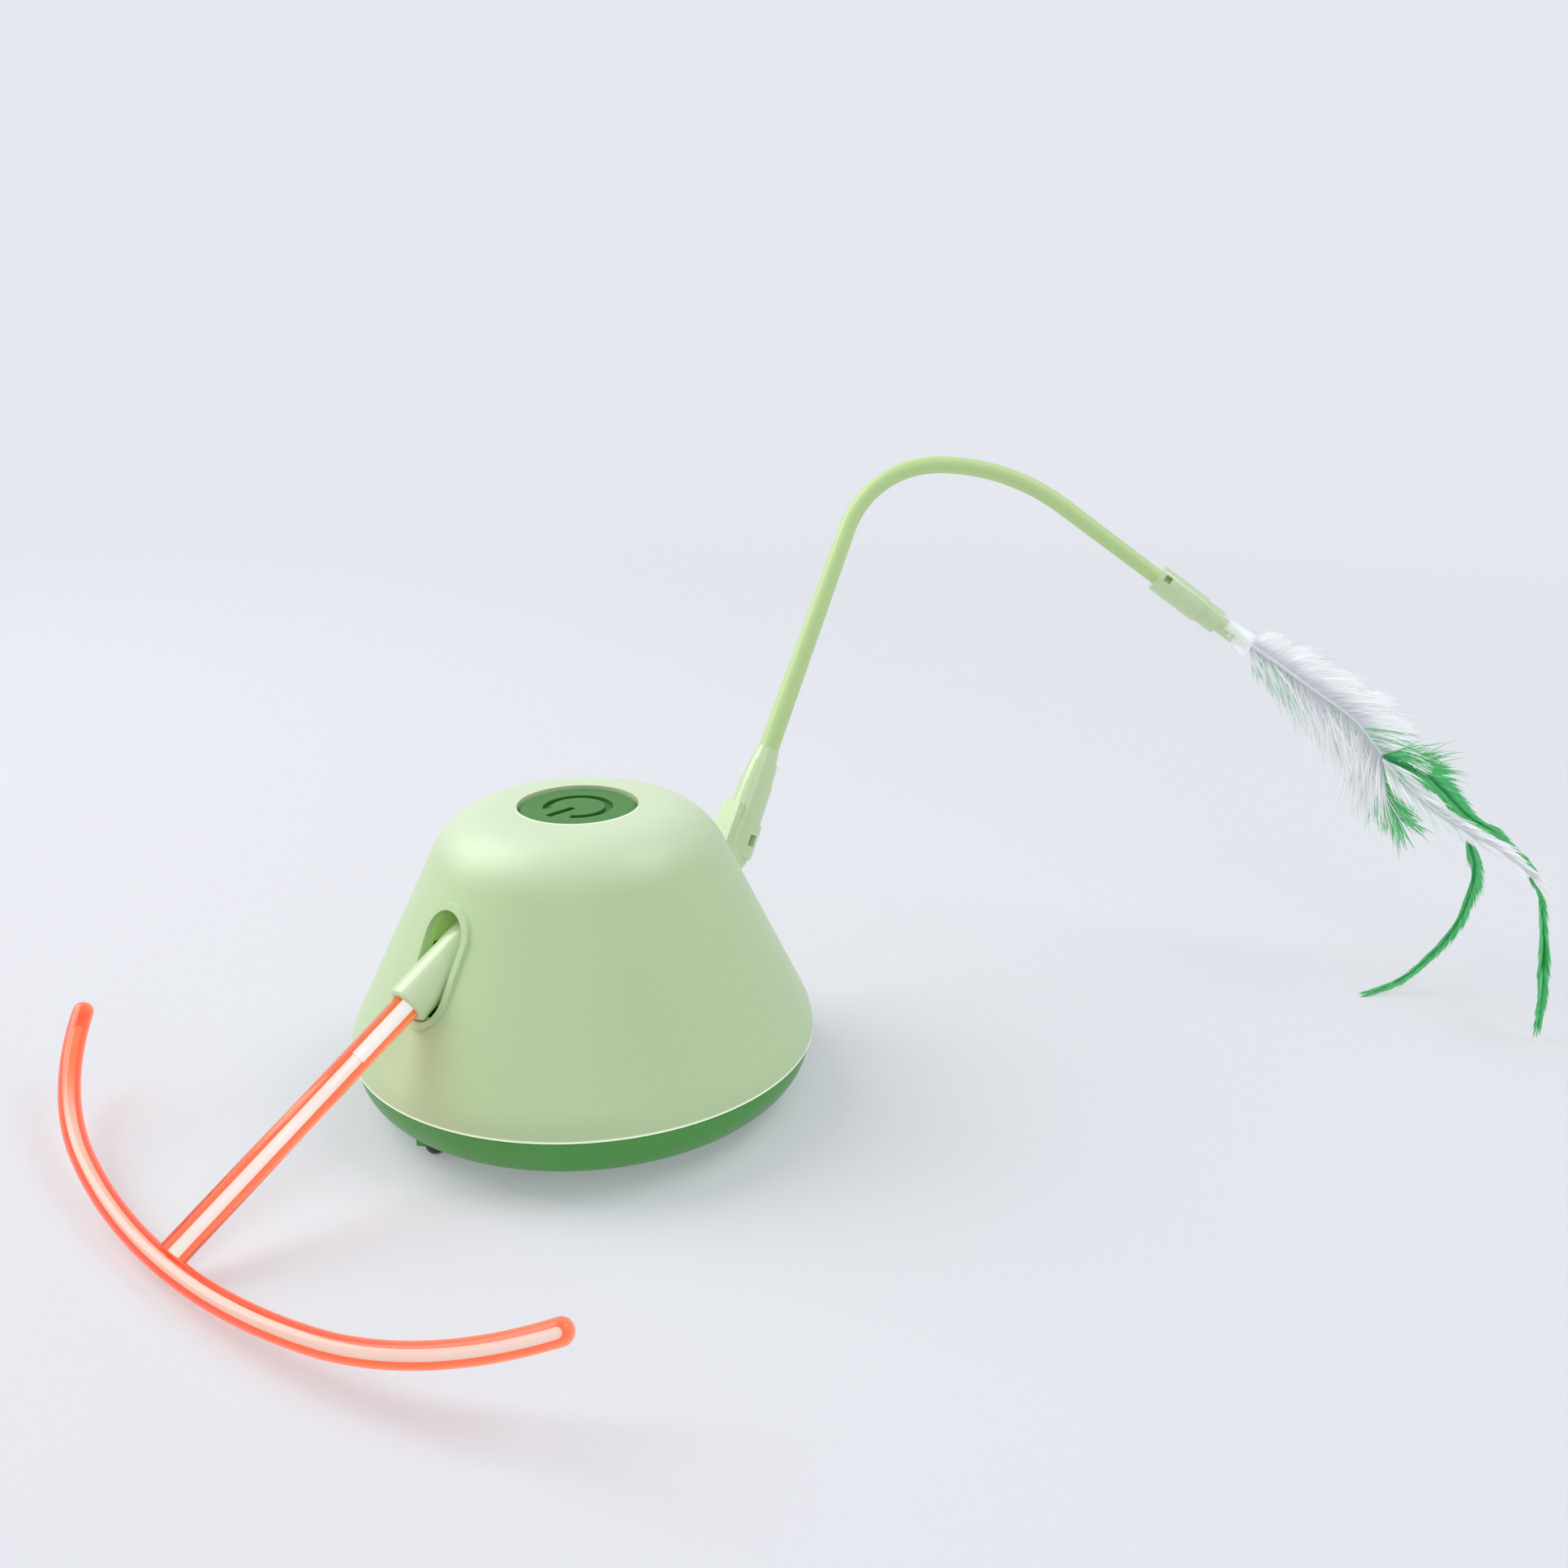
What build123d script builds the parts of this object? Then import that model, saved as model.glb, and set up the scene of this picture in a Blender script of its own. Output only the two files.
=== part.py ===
from build123d import *
from math import atan2, cos, pi, radians, sin, sqrt, tan
import os

# An automatic cat teaser. A rounded robot body runs on two hidden wheels and a ball, a hinged
# bumper bar hangs out in front, and a bent wand at the rear holds feathers above the floor.
# Lengths are in millimetres. The origin is on the floor under the middle of the body, the
# bumper points to -Y, the wand stands at +Y, and +Z is up.

# Fits and cuts shared by all pieces
overrun = 5.0
running = 0.05
snug = 0.02
loose = 0.15

# Body casing
body_radius = 45.0
floor_gap = 2.1
seam_height = 12.4
crown_height = 58.4
wall = 1.8
flank_angle = 26.0
flank_foot = 2.5
knee_round = 10.0
crown_round = 14.5
rim_step = 0.7
dish_round = 8.6
dish_flat_inset = 18.0
dish_rise = 1.3
lip_depth = 1.5
lip_height = 1.2

# Case screws and their posts
case_screw_x = 17.0
case_screw_inset = 13.0
case_post_radius = 3.0
case_head_radius = 2.0
case_head_height = 1.5
case_head_depth = 2.1
case_shank_radius = 1.1
case_grip = 6.0

# Power button and the switch under it
button_radius = 11.2
button_edge_round = 0.8
button_sink = 0.9
button_cap = 2.2
button_skirt = 1.4
button_skirt_height = 8.3
button_flange_radius = 12.9
button_flange = 1.2
button_travel = 0.8
button_gap = 0.3
button_stem_radius = 2.0
collar_clearance = 0.4
symbol_radius = 5.9
symbol_line = 1.5
symbol_depth = 0.6
symbol_gap_angle = 35.0
symbol_bar = 6.3
switch_width = 6.2
switch_height = 3.5
switch_well = 2.7
plunger_radius = 1.7
plunger_proud = 1.2
plunger_in = 1.7

# Front opening and the bumper hinge
hinge_gap = 2.9
hinge_z = 43.1
bumper_slope = 29.7
hub_radius = 4.2
hub_width = 9.4
pin_radius = 1.0
lug_gap = 0.4
lug_width = 2.0
lug_reach = 4.4
nozzle_radius = 3.95
nozzle_length = 24.2
nozzle_edge_round = 0.7
mouth_radius = 2.8
mouth_depth = 3.2
opening_side_gap = 0.65
opening_rest_gap = 0.3
opening_top_radius = 4.9
opening_top_z = 41.1
rim_width = 1.2
rim_proud = 0.6

# Bumper bar
stem_radius = 2.55
stem_bore_radius = 1.15
spigot_radius = 1.9
spigot_length = 9.0
peg_length = 24.0
stem_gap = 0.2
bar_radius = 2.0
bar_reach = 54.9
bar_middle_radius = 150.0
bar_middle_angle = 14.0
bar_end_radius = 76.0
bar_end_angle = 31.0

# Drive, one side; the other is its mirror image
wheel_radius = 13.0
wheel_y = 8.0
tyre_wall = 2.2
wheel_inset = 16.5
wheel_width = 5.0
wheel_slot_gap = 0.8
wheel_slot_inset = 1.7
tread_depth = 0.5
tread_width = 1.1
tread_count = 30
hub_rim = 1.2
hub_web = 1.6
hub_boss_radius = 2.6
hub_hole_radius = 1.9
hub_hole_count = 5
axle_radius = 1.0
axle_inner_stub = 0.6
axle_outer_stub = 0.4
bush_radius = 1.9
bush_flange_radius = 2.4
bush_flange = 0.4
plate_thickness = 1.2
plate_wheel_gap = 12.5
plate_pitch = 9.4
plate_front_y = -16.0
plate_rear_y = 22.0
frame_foot_z = 6.9
frame_foot_height = 2.3
frame_foot_length = 5.8
frame_top_z = 29.0
roof_thickness = 2.8
roof_front_y = -10.0
roof_rear_y = 16.0
gear_module = 0.4
pressure_angle = 25.0
addendum_share = 0.85
dedendum_share = 1.15
backlash = 0.06
wheel_teeth = 40
small_teeth = 12
large_teeth = 34
pinion_teeth = 10
compound_bearing = 150.0
pinion_bearing = 190.0
wheel_gear_gap = 0.5
wheel_gear_width = 2.5
large_gear_gap = 1.0
large_gear_width = 2.4
compound_end_gap = 0.3
gear_side_gap = 0.2
gear_pin_radius = 0.75
pinion_gap = 0.7
pinion_width = 3.1
motor_radius = 6.0
motor_flat = 5.0
motor_gap = 1.0
motor_boss_radius = 2.0
motor_boss_proud = 0.2
motor_shaft_radius = 0.5
motor_edge_round = 0.6
motor_screw_circle = 3.6
motor_screw_radius = 0.5
motor_head_radius = 0.9
motor_head_height = 0.6
motor_screw_length = 2.6

# Screws that hold the frames, the boards and the wand socket
frame_screw_gap = 5.3
frame_screw_front_y = -13.0
frame_screw_rear_y = 19.0
frame_boss_radius = 2.4
small_head_radius = 1.6
small_head_height = 1.2
small_shank_radius = 0.9
small_screw_length = 4.8
board_screw_front_y = -6.0
board_screw_rear_y = 12.0
board_screw_length = 3.6
tiny_head_radius = 1.4
tiny_head_height = 1.0
tiny_shank_radius = 0.8
tiny_screw_length = 3.2
screw_recess_depth = 0.6
screw_recess_share = 0.62
screw_slot_share = 0.14

# Boards, charging port and cell
board_wall_gap = 14.0
board_half_depth = 23.0
board_thickness = 1.2
chip_side = 8.0
chip_height = 1.4
chip_x = 12.0
crystal_radius = 1.5
crystal_height = 3.0
crystal_length = 7.0
socket_length = 8.0
socket_width = 5.0
socket_height = 4.2
socket_y = 17.5
capacitor_radius = 2.5
capacitor_height = 3.6
capacitor_gap = 6.5
usb_board_width = 15.0
usb_board_inset = 15.0
usb_board_rear_inset = 6.0
usb_board_thickness = 1.0
usb_board_z = 17.8
usb_post_x = 5.0
usb_post_inset = 13.0
usb_post_radius = 2.0
usb_width = 8.94
usb_height = 3.2
usb_length = 7.3
usb_shell = 0.3
usb_tongue = 0.7
usb_tongue_share = 0.8
usb_end_inset = 3.3
usb_cut_gap = 0.3
battery_gap = 1.0
battery_front_y = -15.0
battery_rear_y = 19.0
battery_thickness = 5.6
battery_edge_round = 1.5
rib_thickness = 1.0
rib_height = 2.6
rib_end_width = 16.0

# Ball caster
ball_radius = 2.1
ball_inset = 8.0
ball_play = 0.05
cage_wall = 1.45
cage_top_z = 8.0
cage_flange = 1.4
cage_flange_top_z = 6.6
claw_drop = 0.6
claw_width = 1.6
claw_angles = (30.0, 120.0, 210.0)

# Wand socket and boot
socket_lean = 30.0
socket_reach = 1.8
socket_foot_z = 44.9
socket_bottom = -9.6
socket_rim = -2.3
socket_radius = 4.4
socket_bore_radius = 3.0
socket_plug_end = -8.0
elbow_place = -8.4
elbow_round = 6.0
arm_radius = 4.2
arm_slope = 32.0
arm_length = 13.0
arm_flange_radius = 8.0
arm_flange = 1.6
arm_pad_radius = 9.5
arm_hole_gap = 0.2
arm_screw_x = 6.0
tab_bottom = -8.7
tab_top = 1.1
tab_thickness = 1.2
tab_width = 4.6
window_width = 1.8
window_height = 2.4
window_place = -5.6
boot_lower_top = 6.7
boot_lower_radius = 3.9
boot_lower_top_radius = 3.6
boot_middle_top = 11.3
boot_middle_radius = 3.45
boot_middle_top_radius = 3.1
boot_tip_top = 14.5
boot_tip_radius = 2.8
boot_tip_top_radius = 2.4

# Wand rod
wand_heading = 45.8
rod_foot = -7.4
rod_straight = 66.0
rod_foot_radius = 2.2
rod_bend_radius = 22.0
rod_mid_radius = 1.85
rod_crown_radius = 45.0
rod_crown_turn = 38.0
rod_fall = 26.0
rod_end_radius = 1.7
rod_grip = 7.0

# Feather holder and feathers
sleeve_radius = 3.1
sleeve_length = 17.0
sleeve_step_radius = 2.7
sleeve_step = 5.0
sleeve_window = 1.6
sleeve_window_place = 1.2
holder_spigot_radius = 1.85
holder_spigot_length = 6.0
sheath_radius = 2.4
sheath_length = 4.2
sheath_overlap = 1.9
quill_radius = 0.55
quill_circle = 0.8
quill_length = 2.4
quill_count = 3
feather_thickness = 1.2
vane_thickness = 0.6
feather_span = 60.0
vane_half_width = 3.4
streamer_half_width = 1.8
tuft_half_width = 3.6
strip_thickness = 0.8
strip_half_width = 1.1
strip_gap = 0.3
strip_tip_z = 0.5

# Feather places as shares of the feather span, measured in the wand's plane from the holder's
# end: the first number runs outwards level with the floor, the second rises with the plane
white_outline_shares = [(0.063, -0.009), (0.223, -0.032), (0.373, -0.126), (0.525, -0.204),
                        (0.658, -0.312), (0.698, -0.449), (0.501, -0.626), (0.356, -0.442),
                        (0.208, -0.319), (0.138, -0.197)]
vane_shares = [(0.510, -0.461), (0.878, -0.626), (1.090, -0.874)]
streamer_shares = [(0.543, -0.506), (0.848, -0.754), (1.108, -0.947)]
tuft_shares = [(0.493, -0.539), (0.598, -0.644), (0.660, -0.809)]
near_strip_start_shares = (0.806, -0.769)
far_strip_start_shares = (1.083, -0.929)

# How far each strip reaches level with the floor, as shares of the feather span, and the point
# half way along it, as shares of its own reach and drop
near_strip_bearing = 236.2
near_strip_reach_shares = 0.347
near_strip_middle_shares = (-0.17, 0.60)
far_strip_bearing = 296.7
far_strip_reach_shares = 0.397
far_strip_middle_shares = (0.83, 0.12)

# Sizes worked out from the ones above
knee_height = seam_height + flank_foot
dish_flat_radius = body_radius - dish_flat_inset
case_screw_y = body_radius - case_screw_inset
hinge_y = -button_flange_radius - hub_radius - hinge_gap
ball_y = ball_inset - body_radius
board_radius = body_radius - board_wall_gap
usb_board_front_y = body_radius - usb_board_inset
usb_board_rear_y = body_radius - usb_board_rear_inset
usb_post_y = body_radius - usb_post_inset
usb_end_y = body_radius - usb_end_inset
socket_foot_y = body_radius + socket_reach
wheel_inner_x = body_radius - wheel_inset
plate_inner_x = wheel_inner_x - plate_wheel_gap
motor_length = plate_inner_x - motor_gap
battery_width = 2 * (plate_inner_x - battery_gap)
frame_screw_x = plate_inner_x + frame_screw_gap
capacitor_x = plate_inner_x + capacitor_gap
dish_radius = body_radius - rim_step
dish_floor = floor_gap + wall
lip_outer_radius = body_radius - wall - loose
button_top = crown_height - button_sink + button_travel / 2
button_skirt_foot = button_top - button_cap - button_skirt_height
button_hole_radius = button_radius + button_gap
board_z = frame_top_z
board_top = board_z + board_thickness
plunger_top = board_top + switch_height + plunger_proud
plate_outer_x = plate_inner_x + plate_pitch
wheel_outer_x = wheel_inner_x + wheel_width
frame_outer_x = plate_outer_x + plate_thickness
wheel_gear_x = plate_outer_x - wheel_gear_gap - wheel_gear_width
large_gear_x = plate_inner_x + plate_thickness + large_gear_gap
compound_end_x = plate_outer_x - compound_end_gap
pinion_x = plate_inner_x + plate_thickness + pinion_gap
cage_radius = ball_radius + ball_play + cage_wall
peg_radius = stem_bore_radius - running


def gear_place(start_y, start_z, teeth_a, teeth_b, bearing):
    """Centre of a gear that meshes with the one at the start, at a bearing from it."""
    reach = gear_module * (teeth_a + teeth_b) / 2
    return start_y + reach * cos(radians(bearing)), start_z + reach * sin(radians(bearing))


wheel_z = wheel_radius
compound_y, compound_z = gear_place(wheel_y, wheel_z, wheel_teeth, small_teeth, compound_bearing)
motor_y, motor_z = gear_place(compound_y, compound_z, large_teeth, pinion_teeth, pinion_bearing)


def upright(radius, x, y, bottom, top):
    """A round bar that stands at x, y from bottom to top."""
    return Solid.make_cylinder(radius, top - bottom, Plane((x, y, bottom)))


def crosswise(radius, y, z, start_x, end_x):
    """A round bar along X at y, z."""
    return Solid.make_cylinder(radius, end_x - start_x, Plane((start_x, y, z), z_dir=(1, 0, 0)))


def block(x_range, y_range, z_range):
    """A box between pairs of limits."""
    size = [pair[1] - pair[0] for pair in (x_range, y_range, z_range)]
    return Solid.make_box(*size, Plane((x_range[0], y_range[0], z_range[0])))


def rod(radius, seat, start, end):
    """A round bar along a plane's normal between two distances from its origin."""
    return Solid.make_cylinder(radius, end - start, seat.offset(start))


def cone(radius, top_radius, seat, start, end):
    """A tapering bar along a plane's normal between two distances from its origin."""
    return Solid.make_cone(radius, top_radius, end - start, seat.offset(start))


def turned(outline, rounds):
    """A body turned about Z from (radius, height) points, with rounded corners by index."""
    face = Face(Wire.make_polygon([(radius, 0, height) for radius, height in outline]))
    for corner, radius in rounds.items():
        spot = Vector(outline[corner][0], 0, outline[corner][1])
        face = face.fillet_2d(radius, [face.vertices().sort_by_distance(spot)[0]])
    return Solid.revolve(face, 360, Axis.Z)


def mirrored(shape):
    """The same shape on the other side of the body."""
    return mirror(shape, Plane.YZ)


def screw(seat, head_radius, head_height, shank_radius, length):
    """A screw whose head stands on a plane and whose shank runs back through it."""
    slot = block((-head_radius * screw_recess_share, head_radius * screw_recess_share),
                 (-head_radius * screw_slot_share, head_radius * screw_slot_share),
                 (head_height - screw_recess_depth, head_height + overrun))
    body = rod(head_radius, Plane.XY, 0, head_height) + rod(shank_radius, Plane.XY, -length, 0)
    body = body - slot - Rot(0, 0, 90) * slot
    return seat.location * body


def flank_radius(height, inset):
    """Radius of the sloping side at a height, on a surface sunk into the wall by the inset."""
    lean = radians(flank_angle)
    return body_radius - (height - knee_height) * tan(lean) - inset / cos(lean)


def casing_body(inset, foot):
    """The body's upper form, smaller by an inset on every side, from a foot height up."""
    knee = knee_height - inset * tan(radians(flank_angle / 2))
    top = crown_height - inset
    edge = body_radius - inset
    outline = [(0, foot), (edge, foot), (edge, knee), (flank_radius(top, inset), top), (0, top)]
    return turned(outline, {2: knee_round - inset, 3: crown_round - inset})


def dish_body(inset, top):
    """The dish's form, smaller by an inset on every side, up to a top height."""
    edge = dish_radius - inset
    floor = floor_gap + inset
    outline = [(0, floor), (dish_flat_radius, floor), (edge, floor + dish_rise), (edge, top), (0, top)]
    return turned(outline, {2: dish_round - inset})


# The bumper's own frame: X to the side, Z out along the stem
bumper_lean = radians(bumper_slope)
bumper_seat = Plane((0, hinge_y, hinge_z), x_dir=(1, 0, 0),
                    z_dir=(0, -cos(bumper_lean), -sin(bumper_lean)))

# The socket's frame, Z up the wand, and the arm's frame, Z into the body
socket_tilt = radians(socket_lean)
socket_seat = Plane((0, socket_foot_y, socket_foot_z), x_dir=(1, 0, 0),
                    z_dir=(0, sin(socket_tilt), cos(socket_tilt)))
elbow = socket_seat.from_local_coords(Vector(0, 0, elbow_place))
arm_fall = radians(arm_slope)
arm_seat = Plane(elbow, x_dir=(1, 0, 0), z_dir=(0, -cos(arm_fall), -sin(arm_fall)))

# The wand's plane: X level with the floor, Y up the plane, and Z square to it
wand_across = Vector(cos(radians(wand_heading)), sin(radians(wand_heading)), 0)
wand_plane = Plane(socket_seat.origin, x_dir=wand_across, z_dir=wand_across.cross(socket_seat.z_dir))
wand_rise = radians(wand_across.get_angle(socket_seat.z_dir))


def opening_prism(extra):
    """The arched opening in front, wider by an extra on every side, cut level along Y."""
    foot_z = nozzle_underside() - opening_rest_gap
    foot_radius = nozzle_radius + opening_side_gap
    top = Pos(0, opening_top_z) * Circle(opening_top_radius + extra)
    foot = Pos(0, foot_z + foot_radius) * Circle(foot_radius + extra)
    face = Plane.XZ * make_hull(top.edges() + foot.edges())
    return extrude(face, body_radius + overrun, dir=(0, -1, 0))


def nozzle_underside():
    """Height at which the nozzle's lowest line passes the sloping side."""
    fall = tan(bumper_lean)
    lean = tan(radians(flank_angle))
    reach = hinge_y + body_radius + knee_height * lean
    return (hinge_z - nozzle_radius / cos(bumper_lean) - reach * fall) / (1 - fall * lean)


def opening_rim():
    """A low raised edge round the front opening."""
    ring = opening_prism(rim_width) - opening_prism(0)
    return ring & (casing_body(-rim_proud, seam_height) - casing_body(wall / 2, seam_height - overrun))


def hinge_lug(side):
    """One cheek that carries an end of the bumper's hinge pin."""
    inner = hub_width / 2 + lug_gap
    x_range = sorted((side * inner, side * (inner + lug_width)))
    cheek = block(x_range, (-body_radius, hinge_y + lug_reach), (hinge_z - lug_reach, crown_height))
    hole = crosswise(pin_radius + snug, hinge_y, hinge_z, -body_radius, body_radius)
    return (cheek & casing_body(wall / 2, seam_height)) - hole


def case_corners():
    """The four places of the case screws."""
    return [(x, y) for x in (-case_screw_x, case_screw_x) for y in (-case_screw_y, case_screw_y)]


def top_shell():
    """The upper casing with its button collar, hinge cheeks, screw columns and rear pad."""
    solid = casing_body(0, seam_height)
    inside = casing_body(wall / 2, seam_height - overrun)
    shell = solid - casing_body(wall, seam_height - overrun)
    collar_radius = button_flange_radius + collar_clearance
    collar_foot = button_skirt_foot + collar_clearance
    collar = upright(collar_radius, 0, 0, collar_foot, crown_height) & inside
    shell = shell + collar
    post_foot = seam_height + lip_height
    for x, y in case_corners():
        shell = shell + (upright(case_post_radius, x, y, post_foot, crown_height) & inside)
    shell = shell + hinge_lug(1) + hinge_lug(-1)
    pad = rod(arm_pad_radius, arm_seat, 0, arm_length - arm_flange)
    shell = shell + (pad & inside) + opening_rim()
    shell = shell - upright(button_hole_radius, 0, 0, collar_foot - overrun, crown_height + overrun)
    shell = shell - opening_prism(0) - rod(arm_radius + arm_hole_gap, arm_seat, 0, arm_length)
    for x, y in case_corners():
        pilot_top = post_foot + case_grip + overrun
        shell = shell - upright(case_shank_radius + snug, x, y, post_foot - overrun, pilot_top)
    for x in (-arm_screw_x, arm_screw_x):
        seat = Plane(arm_seat.from_local_coords(Vector(x, 0, arm_length)), z_dir=arm_seat.z_dir)
        shell = shell - rod(tiny_shank_radius + snug, seat, -tiny_screw_length - snug, overrun)
    return shell - usb_cut()


def usb_cut():
    """The charging port's cut in the rear wall."""
    x = usb_width / 2 + usb_cut_gap
    foot = usb_board_z + usb_board_thickness - usb_cut_gap
    top = usb_board_z + usb_board_thickness + usb_height + usb_cut_gap
    return block((-x, x), (usb_board_front_y, body_radius + overrun), (foot, top))


def drive_feet():
    """The four places where the gear frames are screwed to the dish."""
    places = (frame_screw_front_y, frame_screw_rear_y)
    return [(x, y) for x in (-frame_screw_x, frame_screw_x) for y in places]


def battery_ribs():
    """Low ribs that keep the cell in place."""
    top = dish_floor + rib_height
    side = battery_width / 2 + loose
    ribs = []
    for sign in (1, -1):
        x_range = sorted((sign * side, sign * (side + rib_thickness)))
        ribs.append(block(x_range, (battery_front_y, battery_rear_y), (dish_floor - wall / 2, top)))
    half = rib_end_width / 2
    front = battery_front_y - loose
    rear = battery_rear_y + loose
    ribs.append(block((-half, half), (front - rib_thickness, front), (dish_floor - wall / 2, top)))
    ribs.append(block((-half, half), (rear, rear + rib_thickness), (dish_floor - wall / 2, top)))
    return ribs


def wheel_slot(side):
    """The cut that lets one wheel reach the floor."""
    half = wheel_radius - wheel_slot_inset
    x_range = sorted((side * (wheel_inner_x - wheel_slot_gap), side * (wheel_outer_x + wheel_slot_gap)))
    return block(x_range, (wheel_y - half, wheel_y + half), (floor_gap - overrun, seam_height))


def bottom_shell():
    """The dark dish with its lip, posts, ribs, wheel slots and caster hole."""
    shell = dish_body(0, seam_height) - dish_body(wall, seam_height + overrun)
    lip_foot = seam_height - lip_depth
    lip_top = seam_height + lip_height
    lip = upright(lip_outer_radius, 0, 0, lip_foot, lip_top)
    lip = lip - upright(lip_outer_radius - lip_depth, 0, 0, lip_foot - overrun, lip_top + overrun)
    shell = shell + lip
    whole = dish_body(0, seam_height + lip_height)
    for x, y in case_corners():
        shell = shell + (upright(case_post_radius, x, y, floor_gap, lip_top) & whole)
    for x, y in drive_feet():
        shell = shell + upright(frame_boss_radius, x, y, dish_floor - wall / 2, frame_foot_z)
    for x in (-usb_post_x, usb_post_x):
        shell = shell + upright(usb_post_radius, x, usb_post_y, dish_floor - wall / 2, usb_board_z)
    for rib in battery_ribs():
        shell = shell + rib
    head_seat = case_head_seat()
    for x, y in case_corners():
        shell = shell - upright(case_shank_radius + running, x, y, floor_gap, lip_top + overrun)
        shell = shell - upright(case_head_radius + loose, x, y, floor_gap - overrun, head_seat)
    for x, y in drive_feet():
        pilot_foot = frame_foot_z + frame_foot_height - small_screw_length - snug
        shell = shell - upright(small_shank_radius + snug, x, y, pilot_foot, frame_foot_z + overrun)
    for x in (-usb_post_x, usb_post_x):
        pilot_foot = usb_board_z + usb_board_thickness - tiny_screw_length - snug
        shell = shell - upright(tiny_shank_radius + snug, x, usb_post_y, pilot_foot, usb_board_z + overrun)
    shell = shell - wheel_slot(1) - wheel_slot(-1)
    return shell - upright(cage_radius + running, 0, ball_y, floor_gap - overrun, cage_top_z)


def case_head_seat():
    """Height of the face that the case screw heads press on."""
    return dish_floor + case_head_depth


def power_symbol(top):
    """The engraved ring with a gap and a bar towards the front."""
    floor = top - symbol_depth
    outer = symbol_radius + symbol_line / 2
    ring = upright(outer, 0, 0, floor, top + overrun)
    ring = ring - upright(outer - symbol_line, 0, 0, floor - overrun, top + overrun + overrun)
    far = body_radius * sin(radians(symbol_gap_angle))
    near = -body_radius * cos(radians(symbol_gap_angle))
    wedge = Wire.make_polygon([(0, 0, floor), (far, near, floor), (-far, near, floor)])
    ring = ring - extrude(Face(wedge), button_radius, dir=(0, 0, 1))
    bar_end = -symbol_radius - symbol_line
    bar = block((-symbol_line / 2, symbol_line / 2), (bar_end, bar_end + symbol_bar), (floor, top + overrun))
    return ring, bar


def power_button():
    """The round cap on a guiding skirt, with the stem that meets the switch."""
    skirt_top = button_top - button_cap
    outline = [(0, skirt_top), (button_radius, skirt_top), (button_radius, button_top), (0, button_top)]
    button = turned(outline, {2: button_edge_round})
    ring, bar = power_symbol(button_top)
    button = button - ring - bar
    flange_foot = button_skirt_foot - button_flange
    skirt = upright(button_radius, 0, 0, button_skirt_foot, skirt_top)
    skirt = skirt + upright(button_flange_radius, 0, 0, flange_foot, button_skirt_foot)
    skirt = skirt - upright(button_radius - button_skirt, 0, 0, flange_foot - overrun, skirt_top)
    return button + skirt + upright(button_stem_radius, 0, 0, plunger_top, skirt_top)


def switch_plunger():
    """The small round pusher of the switch."""
    return upright(plunger_radius, 0, 0, plunger_top - plunger_proud - plunger_in, plunger_top)


def tact_switch():
    """The square switch on the board, with a well for its pusher."""
    half = switch_width / 2
    top = board_top + switch_height
    body = block((-half, half), (-half, half), (board_top, top))
    return body - upright(plunger_radius + running, 0, 0, top - switch_well, top + overrun)


def main_board():
    """The round board cut straight in front and behind, screwed to the frames' roofs."""
    board = upright(board_radius, 0, 0, board_z, board_top)
    depth = (-board_half_depth, board_half_depth)
    board = board & block((-board_radius, board_radius), depth, (board_z, board_top))
    for x, y in board_holes():
        board = board - upright(small_shank_radius + running, x, y, board_z - overrun, board_top + overrun)
    return board


def board_holes():
    """The four places of the board's screws."""
    places = (board_screw_front_y, board_screw_rear_y)
    return [(x, y) for x in (-frame_screw_x, frame_screw_x) for y in places]


def board_components():
    """Chips, a crystal, plugs and capacitors that stand on the main board."""
    pieces = []
    socket_range = (socket_y - socket_width / 2, socket_y + socket_width / 2)
    for side in (1, -1):
        centre = side * chip_x
        chip = (centre - chip_side / 2, centre + chip_side / 2)
        pieces.append(block(chip, (-chip_side / 2, chip_side / 2), (board_top, board_top + chip_height)))
        plug = (centre - socket_length / 2, centre + socket_length / 2)
        pieces.append(block(plug, socket_range, (board_top, board_top + socket_height)))
        can_top = board_top + capacitor_height
        pieces.append(upright(capacitor_radius, side * capacitor_x, 0, board_top, can_top))
    half = crystal_length / 2
    crystal_range = (socket_y - crystal_radius, socket_y + crystal_radius)
    pieces.append(block((-half, half), crystal_range, (board_top, board_top + crystal_height)))
    return pieces


def usb_board():
    """The small board behind the charging port."""
    half = usb_board_width / 2
    top = usb_board_z + usb_board_thickness
    board = block((-half, half), (usb_board_front_y, usb_board_rear_y), (usb_board_z, top))
    hole_radius = tiny_shank_radius + running
    for x in (-usb_post_x, usb_post_x):
        board = board - upright(hole_radius, x, usb_post_y, usb_board_z - overrun, top + overrun)
    return board


def usb_port():
    """The charging receptacle, a rounded shell with a tongue in its mouth."""
    foot = usb_board_z + usb_board_thickness
    middle = Plane((0, usb_end_y, foot + usb_height / 2), x_dir=(1, 0, 0), z_dir=(0, -1, 0))
    outer = extrude(middle * SlotOverall(usb_width, usb_height), usb_length)
    mouth_width = usb_width - usb_shell - usb_shell
    mouth_height = usb_height - usb_shell - usb_shell
    mouth = extrude(middle * SlotOverall(mouth_width, mouth_height), usb_length - usb_tongue)
    half = mouth_width * usb_tongue_share / 2
    tongue = block((-half, half),
                   (usb_end_y - usb_length, usb_end_y - usb_tongue),
                   (foot + (usb_height - usb_tongue) / 2, foot + (usb_height + usb_tongue) / 2))
    return (outer - mouth) + tongue


def battery_cell():
    """The flat rechargeable cell on the dish floor."""
    half = battery_width / 2
    top = dish_floor + battery_thickness
    cell = block((-half, half), (battery_front_y, battery_rear_y), (dish_floor, top))
    return fillet(cell.edges().filter_by(Axis.Z), battery_edge_round)


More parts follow.
